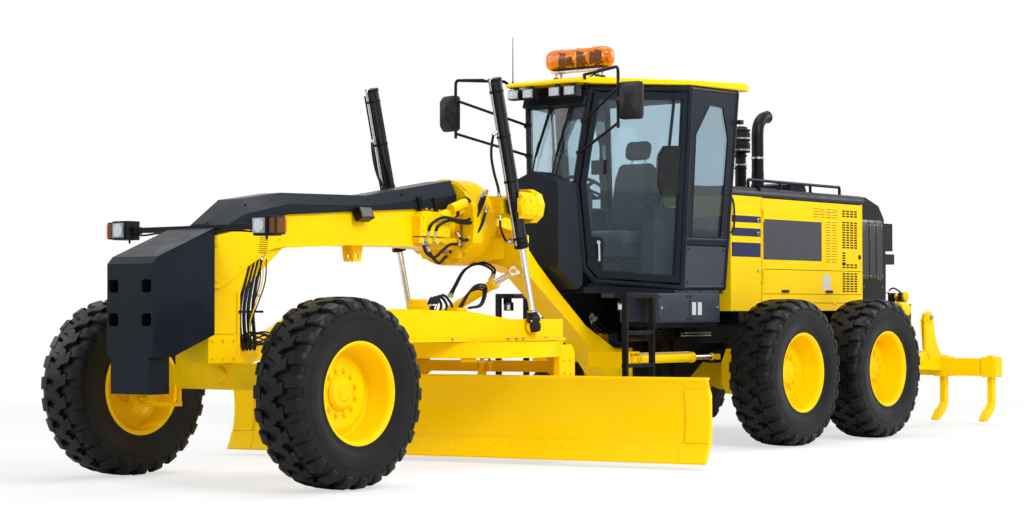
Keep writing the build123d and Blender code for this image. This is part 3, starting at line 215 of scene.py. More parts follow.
GROUND_DUST, TREAD_DUST = (0.30, 0.24, 0.15), (0.05, 0.046, 0.038)
MATERIALS = {
    "yellow": solid("yellow_enamel", (0.985, 0.645, 0.0015), (0.96, 0.61, 0.0015), 1.6, (0.20, 0.30), coat=0.05,
                    dust=(GROUND_DUST, 0.03, 0.5), shine=0.05),
    "yellow_cast": solid("yellow_casting", (0.96, 0.63, 0.0015), (0.88, 0.55, 0.0015), 5, (0.28, 0.42),
                         (160, 0.30, 0.0012), coat=0.04, dust=(GROUND_DUST, 0.05, 0.6), shine=0.06),
    "slate": solid("slate_enamel", (0.0095, 0.0130, 0.021), (0.007, 0.010, 0.0165), 1.8, (0.30, 0.42), coat=0.04,
                   dust=(GROUND_DUST, 0.02, 0.6), shine=0.1),
    "grey": solid("grey_enamel", (0.038, 0.044, 0.06), (0.03, 0.035, 0.05), 2.2, (0.34, 0.46), coat=0.08),
    "black": solid("black_enamel", (0.004, 0.004, 0.0055), (0.008, 0.008, 0.0095), 3, (0.26, 0.40), coat=0.03,
                   shine=0.12),
    "gloss_black": solid("black_cylinder_paint", (0.004, 0.0042, 0.005), (0.007, 0.007, 0.008), 4, (0.10, 0.2),
                         coat=0.12, shine=0.3),
    "plastic": solid("black_plastic", (0.008, 0.008, 0.009), (0.014, 0.014, 0.016), 8, (0.45, 0.6),
                     (900, 0.35, 0.0005)),
    "interior": solid("cab_trim", (0.018, 0.020, 0.024), (0.026, 0.029, 0.034), 7, (0.5, 0.62),
                      (240, 0.12, 0.0003)),
    "rubber": solid("hose_rubber", (0.006, 0.006, 0.007), (0.012, 0.0115, 0.0115), 20, (0.42, 0.58),
                    (600, 0.3, 0.0005)),
    "tyre": solid("tyre_rubber", (0.0050, 0.0055, 0.0060), (0.0085, 0.0088, 0.0092), 9, (0.36, 0.50),
                  (260, 0.30, 0.0007), dust=(TREAD_DUST, 0.05, 0.35), shine=0.15),
    "chrome": solid("chrome", (0.82, 0.83, 0.85), (0.75, 0.76, 0.79), 9, (0.05, 0.14), (1200, 0.04, 0.0002),
                    metallic=1),
    "steel": solid("plated_steel", (0.50, 0.50, 0.48), (0.38, 0.37, 0.34), 30, (0.26, 0.42), (900, 0.15, 0.0003),
                   metallic=1),
    "navy": solid("navy_stripe", (0.003, 0.006, 0.055), (0.0045, 0.008, 0.065), 5, (0.25, 0.34), coat=0.1),
    "decal": solid("grey_panel", (0.037, 0.041, 0.048), (0.044, 0.048, 0.056), 5, (0.28, 0.38), coat=0.1),
    "label": solid("blank_plate", (0.62, 0.63, 0.62), (0.55, 0.56, 0.56), 30, (0.3, 0.4)),
    "dark": solid("shadow_gap", (0.003, 0.003, 0.003), (0.005, 0.005, 0.005), 20, (0.7, 0.8), shine=0.1),
    "glass": pane("window_glass", (0.86, 0.945, 0.98), 0.01, 0.05, (0.20, 0.28, 0.33)),
    # The cab glass's veil share and blue-grey veil colour are painted reflection that greys the panes.
    "cab_glass": pane("cab_window_glass", (0.81, 0.89, 0.925), 0.01, 0.13, (0.10, 0.14, 0.165)),
    "clear": pane("clear_lens", (0.93, 0.95, 0.96), 0.03, 0.12, (0.8, 0.82, 0.84)),
    "amber": pane("amber_lens", (1.0, 0.50, 0.02), 0.03, 0.14, (0.80, 0.26, 0.006)),
    "red": pane("red_lens", (0.8, 0.02, 0.01), 0.04, 0.6, (0.5, 0.006, 0.004)),
    "cloth": woven("seat_cloth", (0.018, 0.019, 0.021), (0.026, 0.027, 0.03)),
}


# Shapes ---------------------------------------------------------------------------------------------

def angles(count):
    """Even angles round a full turn."""
    return [tau * k / count for k in range(count)]


def side_turn(sign):
    """Nothing for the left side, a mirror for the right side."""
    return AS_IS if sign > 0 else MIRROR


def placed(at, turn=0.0, axis="Z"):
    """A move to a place after a turn in degrees."""
    return Matrix.Translation(at) @ Matrix.Rotation(radians(turn), 4, axis)


def smooth_path(points, steps=8):
    """Points along a smooth line through the given ones."""
    p = [Vector(q) for q in points]
    p = [2 * p[0] - p[1]] + p + [2 * p[-1] - p[-2]]
    line = []
    for a, b, c, d in zip(p, p[1:], p[2:], p[3:]):
        for i in range(steps):
            t = i / steps
            line.append(0.5 * (2 * b + (c - a) * t + (2 * a - 5 * b + 4 * c - d) * t * t
                + (3 * b - a - 3 * c + d) * t ** 3))
    return line + [p[-2]]


class Piece:
    """Collects shapes into one mesh object that rides on one body."""

    def __init__(self, name, body, material="yellow"):
        self.name, self.body, self.first = name, body, material
        self.mesh, self.used, self.turn = bmesh.new(), [], AS_IS

    def index(self, material):
        """The slot number of a finish in this piece; None is the piece's first finish."""
        material = material or self.first
        if material not in self.used:
            self.used.append(material)
        return self.used.index(material)

    def add(self, points, faces, material=None):
        """Adds points and faces, turned by the piece's turn; a face that is there already is left out."""
        made = [self.mesh.verts.new(self.turn @ Vector(p)) for p in points]
        flip = self.turn.determinant() < 0
        index = self.index(material)
        for face in faces:
            corners = [made[i] for i in (reversed(face) if flip else face)]
            try:
                new = self.mesh.faces.new(corners)
            except ValueError:
                continue
            new.material_index = index

    def box(self, x, y, z, material=None, frame_at=AS_IS):
        """A box between two values on each axis."""
        points = [frame_at @ Vector((a, b, c)) for a in sorted(x) for b in sorted(y) for c in sorted(z)]
        faces = [(0, 1, 3, 2), (4, 6, 7, 5), (0, 4, 5, 1), (2, 3, 7, 6), (0, 2, 6, 4), (1, 5, 7, 3)]
        self.add(points, faces, material)

    def prism(self, outline, axis, span, material=None):
        """An outline in the plane across the axis, run between two values along it."""
        put = {"x": lambda u, v, w: (w, u, v), "y": lambda u, v, w: (u, w, v), "z": lambda u, v, w: (u, v, w)}[axis]
        area = sum(a[0] * b[1] - b[0] * a[1] for a, b in zip(outline, outline[1:] + outline[:1]))
        if (area < 0) != (axis == "y"):
            outline = outline[::-1]
        n = len(outline)
        low, high = sorted(span)
        points = [put(u, v, low) for u, v in outline] + [put(u, v, high) for u, v in outline]
        faces = [tuple(range(n))[::-1], tuple(range(n, 2 * n))]
        faces += [(i, (i + 1) % n, n + (i + 1) % n, n + i) for i in range(n)]
        self.add(points, faces, material)

    def rings(self, rings, material=None, caps=True):
        """Joins closed rings of points that have the same count; caps fills the first and the last."""
        n, m = len(rings[0]), len(rings)
        points = [p for ring in rings for p in ring]
        faces = []
        for j in range(m - 1):
            for i in range(n):
                a, b = j * n + i, j * n + (i + 1) % n
                faces.append((a, b, b + n, a + n))
        if caps:
            faces += [tuple(range(n))[::-1], tuple(range((m - 1) * n, m * n))]
        self.add(points, faces, material)

    def lathe(self, profile, origin, axis, material=None, sides=48, caps=True):
        """Turns (along, radius) pairs about an axis through the origin."""
        axis = Vector(axis).normalized()
        across = axis.orthogonal().normalized()
        other = axis.cross(across)
        rings = []
        for along, radius in profile:
            rings.append([Vector(origin) + axis * along + (across * cos(a) + other * sin(a)) * max(radius, 0.01)
                for a in angles(sides)])
        self.rings(rings, material, caps)

    def bar(self, start, end, radius, material=None, sides=20):
        """A round bar between two places."""
        start, end = Vector(start), Vector(end)
        length = (end - start).length
        self.lathe([(0, radius), (length, radius)], start, end - start, material, sides)

    def hose(self, points, radius, material="rubber", sides=10, steps=8, fitting=None):
        """A round hose along a smooth line; fitting puts a plated end on both ends."""
        line = smooth_path(points, steps)
        rings, up = [], None
        for i, p in enumerate(line):
            ahead = (line[min(i + 1, len(line) - 1)] - line[max(i - 1, 0)]).normalized()
            up = (up - ahead * up.dot(ahead)).normalized() if up else ahead.orthogonal().normalized()
            side = ahead.cross(up)
            rings.append([p + (up * cos(a) + side * sin(a)) * radius for a in angles(sides)])
        self.rings(rings, material)
        if fitting:
            for tip, back in ((line[0], line[2]), (line[-1], line[-3])):
                way = (back - tip).normalized()
                self.lathe([(-2, radius * 0.9), (0, radius * 1.45), (radius * 2.2, radius * 1.45),
                            (radius * 2.6, radius * 1.15), (radius * 4.2, radius * 1.15)], tip, way, fitting, 12)

    def line(self, points, radius):
        """A rubber hose with plated ends."""
        self.hose(points, radius, "rubber", 10, 6, "steel")

    def bolts(self, places, axis, radius, material="steel"):
        """Hexagon heads with washers."""
        height = radius * 0.7
        for place in places:
            self.lathe([(-1, radius * 1.35), (1.5, radius * 1.35)], place, axis, material, 16)
            head = [(1.5, radius), (height + 1.5, radius), (height + 2.5, radius * 0.82)]
            self.lathe(head, place, axis, material, 6)

    def plate(self, corners, depth, material=None, hole=None):
        """A flat plate on its corners' plane, between two depths along the normal; hole is a second outline."""
        corners = [Vector(c) for c in corners]
        normal = (corners[1] - corners[0]).cross(corners[2] - corners[0]).normalized()
        low, high = depth
        if not hole:
            self.rings([[c + normal * low for c in corners], [c + normal * high for c in corners]], material)
            return
        hole = [Vector(h) for h in hole]
        rings = [[c + normal * d for c in loop] for d, loop in
                 ((low, corners), (high, corners), (high, hole), (low, hole), (low, corners))]
        self.rings(rings, material, caps=False)

    def both(self, build):
        """Runs build on the left side as it is, and again mirrored for the right."""
        was = self.turn
        for flip in (AS_IS, MIRROR):
            self.turn = was @ flip
            build(self)
        self.turn = was

    def done(self, bevel=0.0, segments=2, angle=32, replaces=()):
        """Makes the object: bevel is its edge radius, angle is where a crease counts as an edge."""
        bmesh.ops.remove_doubles(self.mesh, verts=self.mesh.verts, dist=0.01)
        bmesh.ops.transform(self.mesh, matrix=TO_FRAME, verts=self.mesh.verts)
        data = bpy.data.meshes.new(self.name)
        self.mesh.to_mesh(data)
        self.mesh.free()
        for key in self.used:
            data.materials.append(MATERIALS[key])
        return finish_object(self.name, data, self.body, bevel, segments, angle, replaces)


def finish_object(name, data, body, bevel, segments, angle, replaces):
    """Puts a mesh in the scene with rounded edges, on its body, for the CAD nodes it replaces."""
    obj = place_in_scene(name, data)
    for polygon in data.polygons:
        polygon.use_smooth = True
    data.set_sharp_from_angle(angle=radians(angle))
    if bevel:
        mod = obj.modifiers.new("edges", "BEVEL")
        mod.width, mod.segments, mod.limit_method = bevel * UNIT, segments, "ANGLE"
        mod.angle_limit = radians(angle)
        mod.harden_normals = True
        mod.use_clamp_overlap = True
    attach(obj, body)
    if replaces:
        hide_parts(*replaces)
    return obj


def rounded(node, material, bevel, other=None, beyond=0):
    """The CAD node with its edges rounded off and its own finish; faces out past beyond take the other finish."""
    source = frame["nodes"][node]
    work = bmesh.new()
    work.from_mesh(source.data)
    bmesh.ops.remove_doubles(work, verts=work.verts, dist=2e-5)
    bmesh.ops.dissolve_limit(work, angle_limit=radians(0.6), verts=work.verts, edges=work.edges)
    data = bpy.data.meshes.new(node + "_body")
    work.to_mesh(data)
    work.free()
    data.materials.clear()
    data.materials.append(MATERIALS[material])
    if other:
        data.materials.append(MATERIALS[other])
        for polygon in data.polygons:
            polygon.material_index = int(abs(polygon.center.x) > beyond * UNIT)
    return finish_object(node + "_body", data, BODY_OF[node], bevel, 2, 32, (node,))


def painted(node, material):
    """The CAD node as it is, with its own finish."""
    obj = frame["nodes"][node]
    obj.data.materials.clear()
    obj.data.materials.append(MATERIALS[material])


def make_floor():
    """White floor: lit by the lamps near the machine, plain white far from it, as the camera sees it."""
    floor = bmesh.new()
    bmesh.ops.create_grid(floor, x_segments=1, y_segments=1, size=60)
    data = bpy.data.meshes.new("floor")
    floor.to_mesh(data)
    floor.free()
    obj = place_in_scene("floor", data)
    mat, graph = new_material("white_floor")
    tone = graph.blend(graph.ramp(graph.noise(0.6)), (0.86, 0.86, 0.86), (0.84, 0.84, 0.84))
    paper = graph.add("BsdfDiffuse", {"Color": tone})
    glow = graph.add("Emission", {"Strength": 1.0})
    far = graph.add("VectorMath", {0: graph.place}, operation="LENGTH").outputs["Value"]
    far = graph.ramp(far, 0.62, 1.0, 6.5, 12)
    share = graph.math("MULTIPLY", graph.add("LightPath").outputs["Is Camera Ray"], far)
    data.materials.append(show(mat, graph, graph.mix(share, paper, glow)))


make_camera()
make_lights()
make_floor()


# Wheels ---------------------------------------------------------------------------------------------

AXLE_YS = {"front": 0, "tandem_front": 5732.5, "tandem_rear": 7257.5}
TRACK_HALF, TYRE_R = 1063, 645
LUGS, WHEEL_STEP = 25, 0.35
# One lug, from the tread's middle over the shoulder: x, top radius, then shift and half width in lug pitches
LUG_PATHS = [[(-38, 644, -0.30, 0.21), (14, 644, -0.17, 0.25), (18, 644, -0.06, 0.25), (60, 643, 0.04, 0.27),
              (94, 642, 0.10, 0.27)],
             [(106, 641, 0.32, 0.26), (132, 639, 0.35, 0.275), (168, 633, 0.38, 0.28), (193, 618, 0.40, 0.28),
              (206, 594, 0.41, 0.26), (211, 566, 0.42, 0.22)]]
CARCASS = [(169, 325.6), (182, 336), (186, 352), (184, 372), (196, 402), (206, 446), (209, 492), (209, 500),
           (206.5, 502), (206.5, 508), (209, 510), (208, 540), (203, 573), (190, 598), (165, 609), (120, 612),
           (60, 614), (0, 615)]


def tyre_shape(piece):
    """A tyre about the x axis at the origin: carcass with ribs on its sides, and two rows of stepped lugs."""
    profile = CARCASS + [(-x, r) for x, r in reversed(CARCASS[:-1])]
    piece.lathe(profile, (0, 0, 0), OUT, sides=96, caps=False)
    piece.lathe([(169, 325.6), (-169, 325.6)], (0, 0, 0), OUT, sides=96, caps=False)
    pitch = tau / LUGS
    for row in (1, -1):
        for lug in range(LUGS * 2):
            start = (lug // 2 + (0.5 if row < 0 else 0)) * pitch
            rings = []
            for x, top, shift, half in LUG_PATHS[lug % 2]:
                base = top - 34 if x < 190 else top - 16
                inward = 0 if x < 190 else 12
                ring = []
                for side, height, near in ((-1.12, base, inward), (-1, top - 5, 0), (-0.90, top, 0), (0.90, top, 0),
                                           (1, top - 5, 0), (1.12, base, inward)):
                    turn = start + (shift + side * half) * pitch
                    ring.append((row * (x - near), height * sin(turn), height * cos(turn)))
                rings.append(ring if row > 0 else ring[::-1])
            piece.rings(rings)
    for row in (1, -1):
        for i in range(LUGS * 2):
            a = i * pitch / 2
            rib = [(548, a - 0.03), (566, a - 0.03), (566, a + 0.03), (548, a + 0.03)]
            put = [[(row * x, r * sin(t), r * cos(t)) for r, t in rib] for x in (208, 210.5)]
            piece.rings(put if row > 0 else [loop[::-1] for loop in put])


def rim_shape(piece):
    """A five-piece rim with its dish and hub; the wheel's outer side is at +x."""
    piece.lathe([(186, 336), (187, 346), (183, 352), (177, 352), (172, 346), (170, 328), (166, 325), (-166, 325),
        (-170, 328), (-172, 346), (-177, 352), (-183, 352), (-187, 346), (-186, 322), (-176, 316), (-60, 306),
        (24, 306), (34, 310), (120, 311), (150, 315), (168, 322), (176, 330), (186, 336)], (0, 0, 0), OUT, sides=72,
        caps=False)
    piece.lathe([(170, 322), (180, 331), (181, 336), (176, 338), (169, 328), (170, 322)], (0, 0, 0), OUT, sides=72,
        caps=False)
    piece.lathe([(-20, 309), (-25, 304), (-27, 296), (-24, 282), (-12, 262), (-2, 244), (0, 232), (0, 108),
        (-17, 108), (-17, 228), (-20, 240), (-32, 256), (-42, 276), (-43, 300), (-40, 309)], (0, 0, 0), OUT, sides=72,
        caps=False)
    piece.lathe([(-30, 40.4), (-30, 96), (-24, 100), (10, 118), (16, 118), (20, 112), (28, 108), (38, 100), (44, 86),
        (46, 60), (52, 56), (56, 48), (58, 20), (58, 0)], (0, 0, 0), OUT, "yellow_cast", 48, caps=False)
    piece.lathe([(-30, 40.4), (8, 40.4), (8, 0)], (0, 0, 0), OUT, "dark", 24, caps=False)
    for i in range(12):
        a = tau * (i + 0.5) / 12
        spot = (0, 152 * sin(a), 152 * cos(a))
        piece.lathe([(0, 21), (4, 21), (4.1, 16), (20, 16), (22, 13)], spot, OUT, "yellow_cast", 6)
        piece.lathe([(22, 8), (28, 8), (29, 7)], spot, OUT, "yellow_cast", 10)
    for i in range(3):
        a = tau * i / 3 + 0.4
        piece.bolts([(56, 36 * sin(a), 36 * cos(a))], OUT, 6, "yellow_cast")
    piece.bar((-14, 236, 100), (60, 272, 118), 5, "steel", 8)
    piece.bar((60, 272, 118), (76, 276, 120), 4, "rubber", 8)


def make_wheels():
    """Six tyres and six rims, each a step further round its axle than the one before."""
    made = 0
    for kind, build, material in (("tyre", tyre_shape, "tyre"), ("rim", rim_shape, "yellow")):
        for place, y in AXLE_YS.items():
            for side, sign in SIDES.items():
                piece = Piece(f"{kind}_{place}_{side}_shape", f"wheel_{place}_{side}", material)
                piece.turn = Matrix.Translation((sign * TRACK_HALF, y, TYRE_R))
                piece.turn = piece.turn @ side_turn(sign)
                piece.turn = piece.turn @ Matrix.Rotation(WHEEL_STEP * made, 4, "X")
                build(piece)
                piece.done(0 if kind == "tyre" else 1.5, 1, 40, (f"{kind}_{place}_{side}",))
                made += 1


make_wheels()


# CAD pieces that keep their shape, with rounded edges and their own finish: node, finish, edge radius ------

ROUNDED = [
    ("counterweight", "slate", 16), ("cab_cowl", "slate", 14), ("cab_roof", "yellow", 12),
    ("front_frame", "yellow", 4), ("front_axle", "yellow_cast", 9), ("drawbar", "yellow", 4),
    ("circle", "yellow", 5), ("blade_bracket", "yellow", 4), ("moldboard", "yellow", 2),
    ("rear_frame", "black", 4), ("tandem_drive", "yellow", 14), ("engine", "grey", 20),
    ("hood_shell", "yellow", 3), ("hood_top", "slate", 6), ("cab_frame", "slate", 3),
    ("cab_controls", "interior", 8), ("ripper", "yellow", 4),
    ("lean_bracket_left", "yellow_cast", 4), ("lean_bracket_right", "yellow_cast", 4),
    ("steering_knuckle_left", "yellow_cast", 4), ("steering_knuckle_right", "yellow_cast", 4),
    ("cab_door_left", "slate", 4), ("cab_door_right", "slate", 4),
    ("engine_door_left", "yellow", 3), ("engine_door_right", "yellow", 3),
    ("tip_barrel", "yellow", 3), ("ripper_barrels", "yellow", 3), ("shift_barrel", "yellow", 3),
    ("frame_cylinder_barrel_left", "yellow", 3), ("frame_cylinder_barrel_right", "yellow", 3),
    ("lift_barrels", "gloss_black", 4), ("tie_rod", "yellow", 2),
]
AS_MADE = [
    ("lift_rods", "chrome"), ("tip_rod", "chrome"), ("shift_rod", "chrome"), ("ripper_rods", "chrome"),
    ("frame_cylinder_rod_left", "chrome"), ("frame_cylinder_rod_right", "chrome"), ("cab_glass", "cab_glass"),
    ("cab_door_glass_left", "glass"), ("cab_door_glass_right", "glass"),
]
for node, material, width in ROUNDED:
    rounded(node, material, width)
rounded("side_boxes_and_steps", "grey", 5, other="black", beyond=622)
for node, material in AS_MADE:
    painted(node, material)


# Front of the machine -------------------------------------------------------------------------------

def make_hose_cover():
    """The cover over the front beam: sides, a chamfer and a flat top, with screws along its edges."""
    piece = Piece("hose_cover_shape", "front_frame", "slate")
    stations = [(-280, 1716, 1728, 1792, 175, 60), (-262, 1722, 1745, 1808, 175, 66), (0, 1776, 1868, 1974, 175, 96),
        (424, 1878, 1952, 2036, 175, 100), (1316, 1936, 1974, 2052, 175, 104), (2290, 1992, 2092, 2207, 175, 116)]
    rings = []
    for y, low, crease, top, half, flat in stations:
        rings.append([(-half, y, low), (-half, y, crease), (-flat, y, top), (flat, y, top), (half, y, crease),
            (half, y, low), (half - 22, y, low), (-half + 22, y, low)])
    piece.rings(rings)
    for y, crease, top in ((40, 1872, 1978), (300, 1925, 2013), (900, 1965, 2046), (1316, 1977, 2053),
                           (1700, 2024, 2112), (2100, 2071, 2174)):
        for x in (-130, 130):
            lift = top - (top - crease) * 0.42
            piece.bolts([(x, y, lift)], (x / 130 * 0.6, -0.05, 0.8), 9, "black")
    piece.done(7, 3, 20, ("hose_cover",))
    extra = Piece("cover_hooks_and_lamp", "front_frame", "black")
    extra.box((152, 200), (60, 150), (1812, 1836))
    for y in (1830, 2020):
        extra.prism([(y - 26, 2060), (y + 30, 2068), (y + 44, 1990), (y + 12, 1900), (y - 10, 1900), (y + 6, 1990)],
            "x", (174, 190))
    lamp = placed((205, 1180, 1905), -24, "Y")
    extra.box((-36, 40), (-70, 70), (-48, 42), frame_at=lamp)
    extra.box((38, 44), (-60, 60), (-40, 34), "clear", lamp)
    extra.box((150, 190), (1165, 1195), (1925, 1950))
    extra.done(3, 2)


def lamp_unit(piece, x):
    """A head lamp: housing, bowl and ribbed lens, and the amber marker round the outer corner."""
    piece.box((x - 72, x + 72), (-376, -252), (1696, 1830))
    piece.box((x - 62, x + 62), (-389, -376), (1706, 1820))
    piece.box((x - 56, x + 50), (-391.5, -388), (1714, 1812), "steel")
    piece.lathe([(0, 16), (2, 36), (7, 46)], (x - 4, -391.5, 1763), AHEAD, "chrome", 28)
    for i in range(9):
        u = x - 50 + i * 12
        piece.bar((u, -399, 1716), (u, -399, 1810), 3, "clear", 8)
    piece.box((x - 57, x + 52), (-403, -398), (1712, 1814), "clear")
    piece.box((x + 72, x + 80), (-376, -258), (1700, 1826))
    piece.box((x + 80, x + 130), (-372, -276), (1702, 1822))
    piece.box((x + 128, x + 149), (-366, -282), (1712, 1812), "amber")
    piece.box((x + 84, x + 126), (-380, -370), (1712, 1812), "amber")
    piece.bar((x - 20, -300, 1700), (x - 20, -300, 1672), 8, "rubber", 10)


def make_headlamps():
    """The lamp bar over the nose, with both lamps and their markers."""
    piece = Piece("headlamps_shape", "front_frame", "plastic")
    piece.box((-640, 640), (-334, -296), (1742, 1780), "black")
    piece.box((-62, 62), (-336, -294), (1702, 1744), "black")

    def lamps(part):
        lamp_unit(part, 700)
        part.box((560, 632), (-340, -290), (1736, 1786), "black")
        part.hose([(640, -300, 1735), (560, -270, 1728), (400, -285, 1738), (200, -290, 1740)], 7, sides=8, steps=5)
    piece.both(lamps)
    piece.done(5, 2, 30, ("headlamps",))


def make_nose():
    """Plates, bolts and the axle's pivot on the nose, and the hoses beside it."""
    piece = Piece("nose_plates", "front_frame", "yellow")

    def side(part):
        part.prism([(-338, 1700), (-338, 1340), (-250, 1352), (-120, 1420), (60, 1545), (230, 1625), (420, 1655),
            (420, 1690), (300, 1830), (60, 1780)], "x", (176, 186))
        for i in range(9):
            part.box((185.5, 187.5), (130 - i * 2, 215 - i * 2), (1718 - i * 15, 1722.5 - i * 15), "dark")
        part.bolts([(186, -290, 1395), (186, -290, 1640), (186, 330, 1700), (186, -60, 1500)], OUT, 9, "yellow_cast")
        part.prism([(-340, 836), (-340, 1030), (-60, 1030), (-60, 836)], "x", (150, 162))
        part.bolts([(162, y, z) for y in (-300, -200, -100) for z in (870, 990)], OUT, 11, "yellow_cast")
        part.box((150, 158), (-330, -70), (1036, 1330))
        part.box((150, 168), (-70, -44), (900, 1330), "yellow_cast")
    piece.both(side)
    piece.bolts([(x, -68.5, 735) for x in (-560, 560)] + [(x, -68.5, 760) for x in (-420, 420)], AHEAD, 14,
        "yellow_cast")
    piece.lathe([(0, 62), (8, 62), (10, 56), (24, 52), (26, 30), (26, 0)], (0, -68, 745), AHEAD, "yellow_cast", 32)
    piece.done(3, 2)
    hoses = Piece("nose_hoses", "front_frame", "rubber")
    for i, y in enumerate((-95, -60, -25, 15)):
        hoses.line([(150 - i * 4, y + 190, 1600), (146, y + 130, 1430), (158 + i * 5, y + 60, 1220),
            (150 + i * 8, y + 70, 1040), (120, y + 130, 940), (60, y + 150, 900)], 13)
    for i in range(5):
        r = 100 + i * 9
        hoses.hose([(190 + r * cos(a), 110 + r * 0.8 * sin(a), 985 + 9 * i + 26 * sin(2 * a + i))
            for a in (tau * k / 10 for k in range(11))], 6, sides=8, steps=4)
    for i in range(3):
        hoses.hose([(170, 150 + i * 30, 1560), (186, 130 + i * 26, 1400), (200, 60 + i * 20, 1250),
            (190, 20 + i * 10, 1120), (180, 30, 1000)], 5, "yellow" if i == 1 else "rubber", 8, 6)
    hoses.box((120, 182), (-60, 170), (1180, 1196), "black")
    for i in range(4):
        hoses.lathe([(-8, 16), (8, 16)], (148 - i * 2, 100 - i * 36 + 60, 1300), (0, 0.2, 1), "steel", 12)
    hoses.done(1, 1)


YOKE_Z, YOKE_STEPS = 1885, 44


def yoke_arc(radius, start, end):
    """Points along an arc about the yoke's centre, from one angle from the top to another: x, z."""
    turns = [start + (end - start) * i / YOKE_STEPS for i in range(YOKE_STEPS + 1)]
    return [(radius * sin(a), YOKE_Z + radius * cos(a)) for a in turns]


def make_yoke():
    """The cast ring round the beam that carries the lift cylinders, with its lobe, lock and pipes."""
    piece = Piece("yoke_casting", "front_frame", "yellow_cast")

    def ring(low, high, inner, outer, start, end):
        outline = yoke_arc(outer, start, end) + yoke_arc(inner, start, end)[::-1]
        piece.prism(outline, "y", (low, high))
    ring(2345, 2590, 246, 338, -3.12, 3.12)
    ring(2325, 2352, 268, 322, -2.7, 2.7)
    ring(2585, 2612, 268, 322, -2.7, 2.7)
    for side in (1, -1):
        lobe = [(150, 2120), (236, 2120), (330, 2000), (345, 1860), (330, 1720), (238, 1640), (200, 1680),
                (200, 1900)]
        piece.prism([(side * x, z) for x, z in lobe], "y", (2300, 2420))

    def arm(part):
        part.prism([(220, 1905), (420, 1925), (520, 1900), (590, 1872), (690, 1872), (752, 1925), (770, 2010),
            (740, 2092), (660, 2132), (560, 2132), (430, 2085), (220, 2095)], "y", (2572, 2648))
        part.prism([(712, 1898), (748, 1930), (764, 2000), (748, 2070), (712, 2102), (708, 2102), (708, 1898)], "y",
            (2395, 2600))
        part.lathe([(0, 78), (34, 78), (42, 70), (42, 30), (48, 26), (48, 0)], (712, 2451, 2000), OUT, sides=40)
        part.lathe([(0, 66), (26, 66)], (534, 2451, 2000), OUT, sides=32)
        part.bolts([(760, 2451 + 52 * cos(a), 2000 + 52 * sin(a)) for a in (0.8, 2.35, 3.93, 5.5)], OUT, 7,
            "yellow_cast")
    piece.both(arm)
    piece.prism([(180, 1700), (338, 1800), (480, 1745), (556, 1660), (560, 1560), (545, 1500), (505, 1462),
        (445, 1462), (400, 1500), (340, 1540), (230, 1560), (120, 1570)], "y", (2684, 2724))
    piece.prism([(170, 1720), (330, 1760), (330, 1600), (140, 1570)], "y", (2560, 2700))
    piece.lathe([(0, 52), (10, 52), (12, 46), (22, 40), (22, 0)], (475, 2724, 1502), BACK, sides=32)
    piece.bolts([(x, 2300, z) for x in (290, -290) for z in (1760, 1880, 2010)], AHEAD, 13, "yellow_cast")
    piece.done(9, 2, 26)

    lock = Piece("yoke_lock_and_hoses", "front_frame", "yellow")
    lock.bar((212, 2040, 1905), (212, 2300, 1985), 44, sides=28)
    lock.bar((212, 2190, 1951), (212, 2225, 1962), 49, "black", 28)
    lock.bar((262, 2120, 1975), (262, 2330, 2040), 38, sides=28)
    lock.bar((262, 2290, 2028), (262, 2316, 2036), 43, "black", 28)
    lock.prism([(1790, 1760), (2140, 1760), (2140, 1905), (2105, 1948), (1830, 1948), (1790, 1905)], "x", (150, 236))
    lock.box((150, 215), (1800, 2290), (1705, 1752), "yellow_cast")
    lock.bolts([(236, 1830, 1800), (236, 2100, 1800), (236, 1830, 1905)], OUT, 9, "yellow_cast")
    lock.done(6, 2, 30)
    hoses = Piece("yoke_hoses", "front_frame", "rubber")
    runs = [[(228, 1880, 1752), (262, 1890, 1850), (285, 2000, 1905), (296, 2160, 1890), (300, 2300, 1900),
        (330, 2380, 2010), (352, 2410, 2120)], [(228, 1960, 1752), (256, 1980, 1842), (290, 2080, 1885),
        (305, 2200, 1868), (318, 2320, 1885), (352, 2390, 2010), (372, 2420, 2130)], [(200, 1850, 1740),
        (222, 1870, 1640), (235, 1950, 1600), (240, 2040, 1650), (245, 2130, 1700), (240, 2260, 1706)],
        [(216, 2240, 1800), (262, 2260, 1740), (300, 2330, 1760), (352, 2380, 1850), (368, 2430, 2000)],
        [(-228, 1880, 1752), (-262, 1890, 1850), (-285, 2000, 1905), (-296, 2160, 1890), (-340, 2380, 2010),
        (-352, 2410, 2120)], [(60, 2260, 1660), (120, 2330, 1650), (60, 2480, 1655), (-60, 2560, 1650)],
        [(150, 1960, 1690), (180, 2000, 1600), (160, 2100, 1560), (90, 2240, 1600), (20, 2400, 1640)]]
    for run in runs:
        hoses.hose(run, 12, sides=10, steps=7, fitting="steel")
    for y in (1870, 1935, 2000):
        hoses.bar((120, y + 60, 2030), (176, y - 10, 1962), 11, "steel", 10)
    for y in (1874, 1966, 2050):
        hoses.lathe([(0, 15), (22, 15), (24, 10), (34, 10)], (206, y, 1712), (1, 0, -0.1), "steel", 6)
    hoses.done(0, 1)


make_hose_cover()
make_headlamps()
make_nose()
make_yoke()


# Blade gear -----------------------------------------------------------------------------------------

CIRCLE_Y, CIRCLE_TEETH = 2620, 80
CIRCLE_TURN = placed((0, CIRCLE_Y, 0), 11.15)
LIFT_LEAN = radians(14.61)
LIFT_BALL = (630, 2694, 1068)


def lift_place(distance, back=0, out=0):
    """A place beside the left lift cylinder, that far up from its ball."""
    s, c = sin(LIFT_LEAN), cos(LIFT_LEAN)
    return (LIFT_BALL[0] + out, LIFT_BALL[1] - distance * s + back * c, LIFT_BALL[2] + distance * c + back * s)


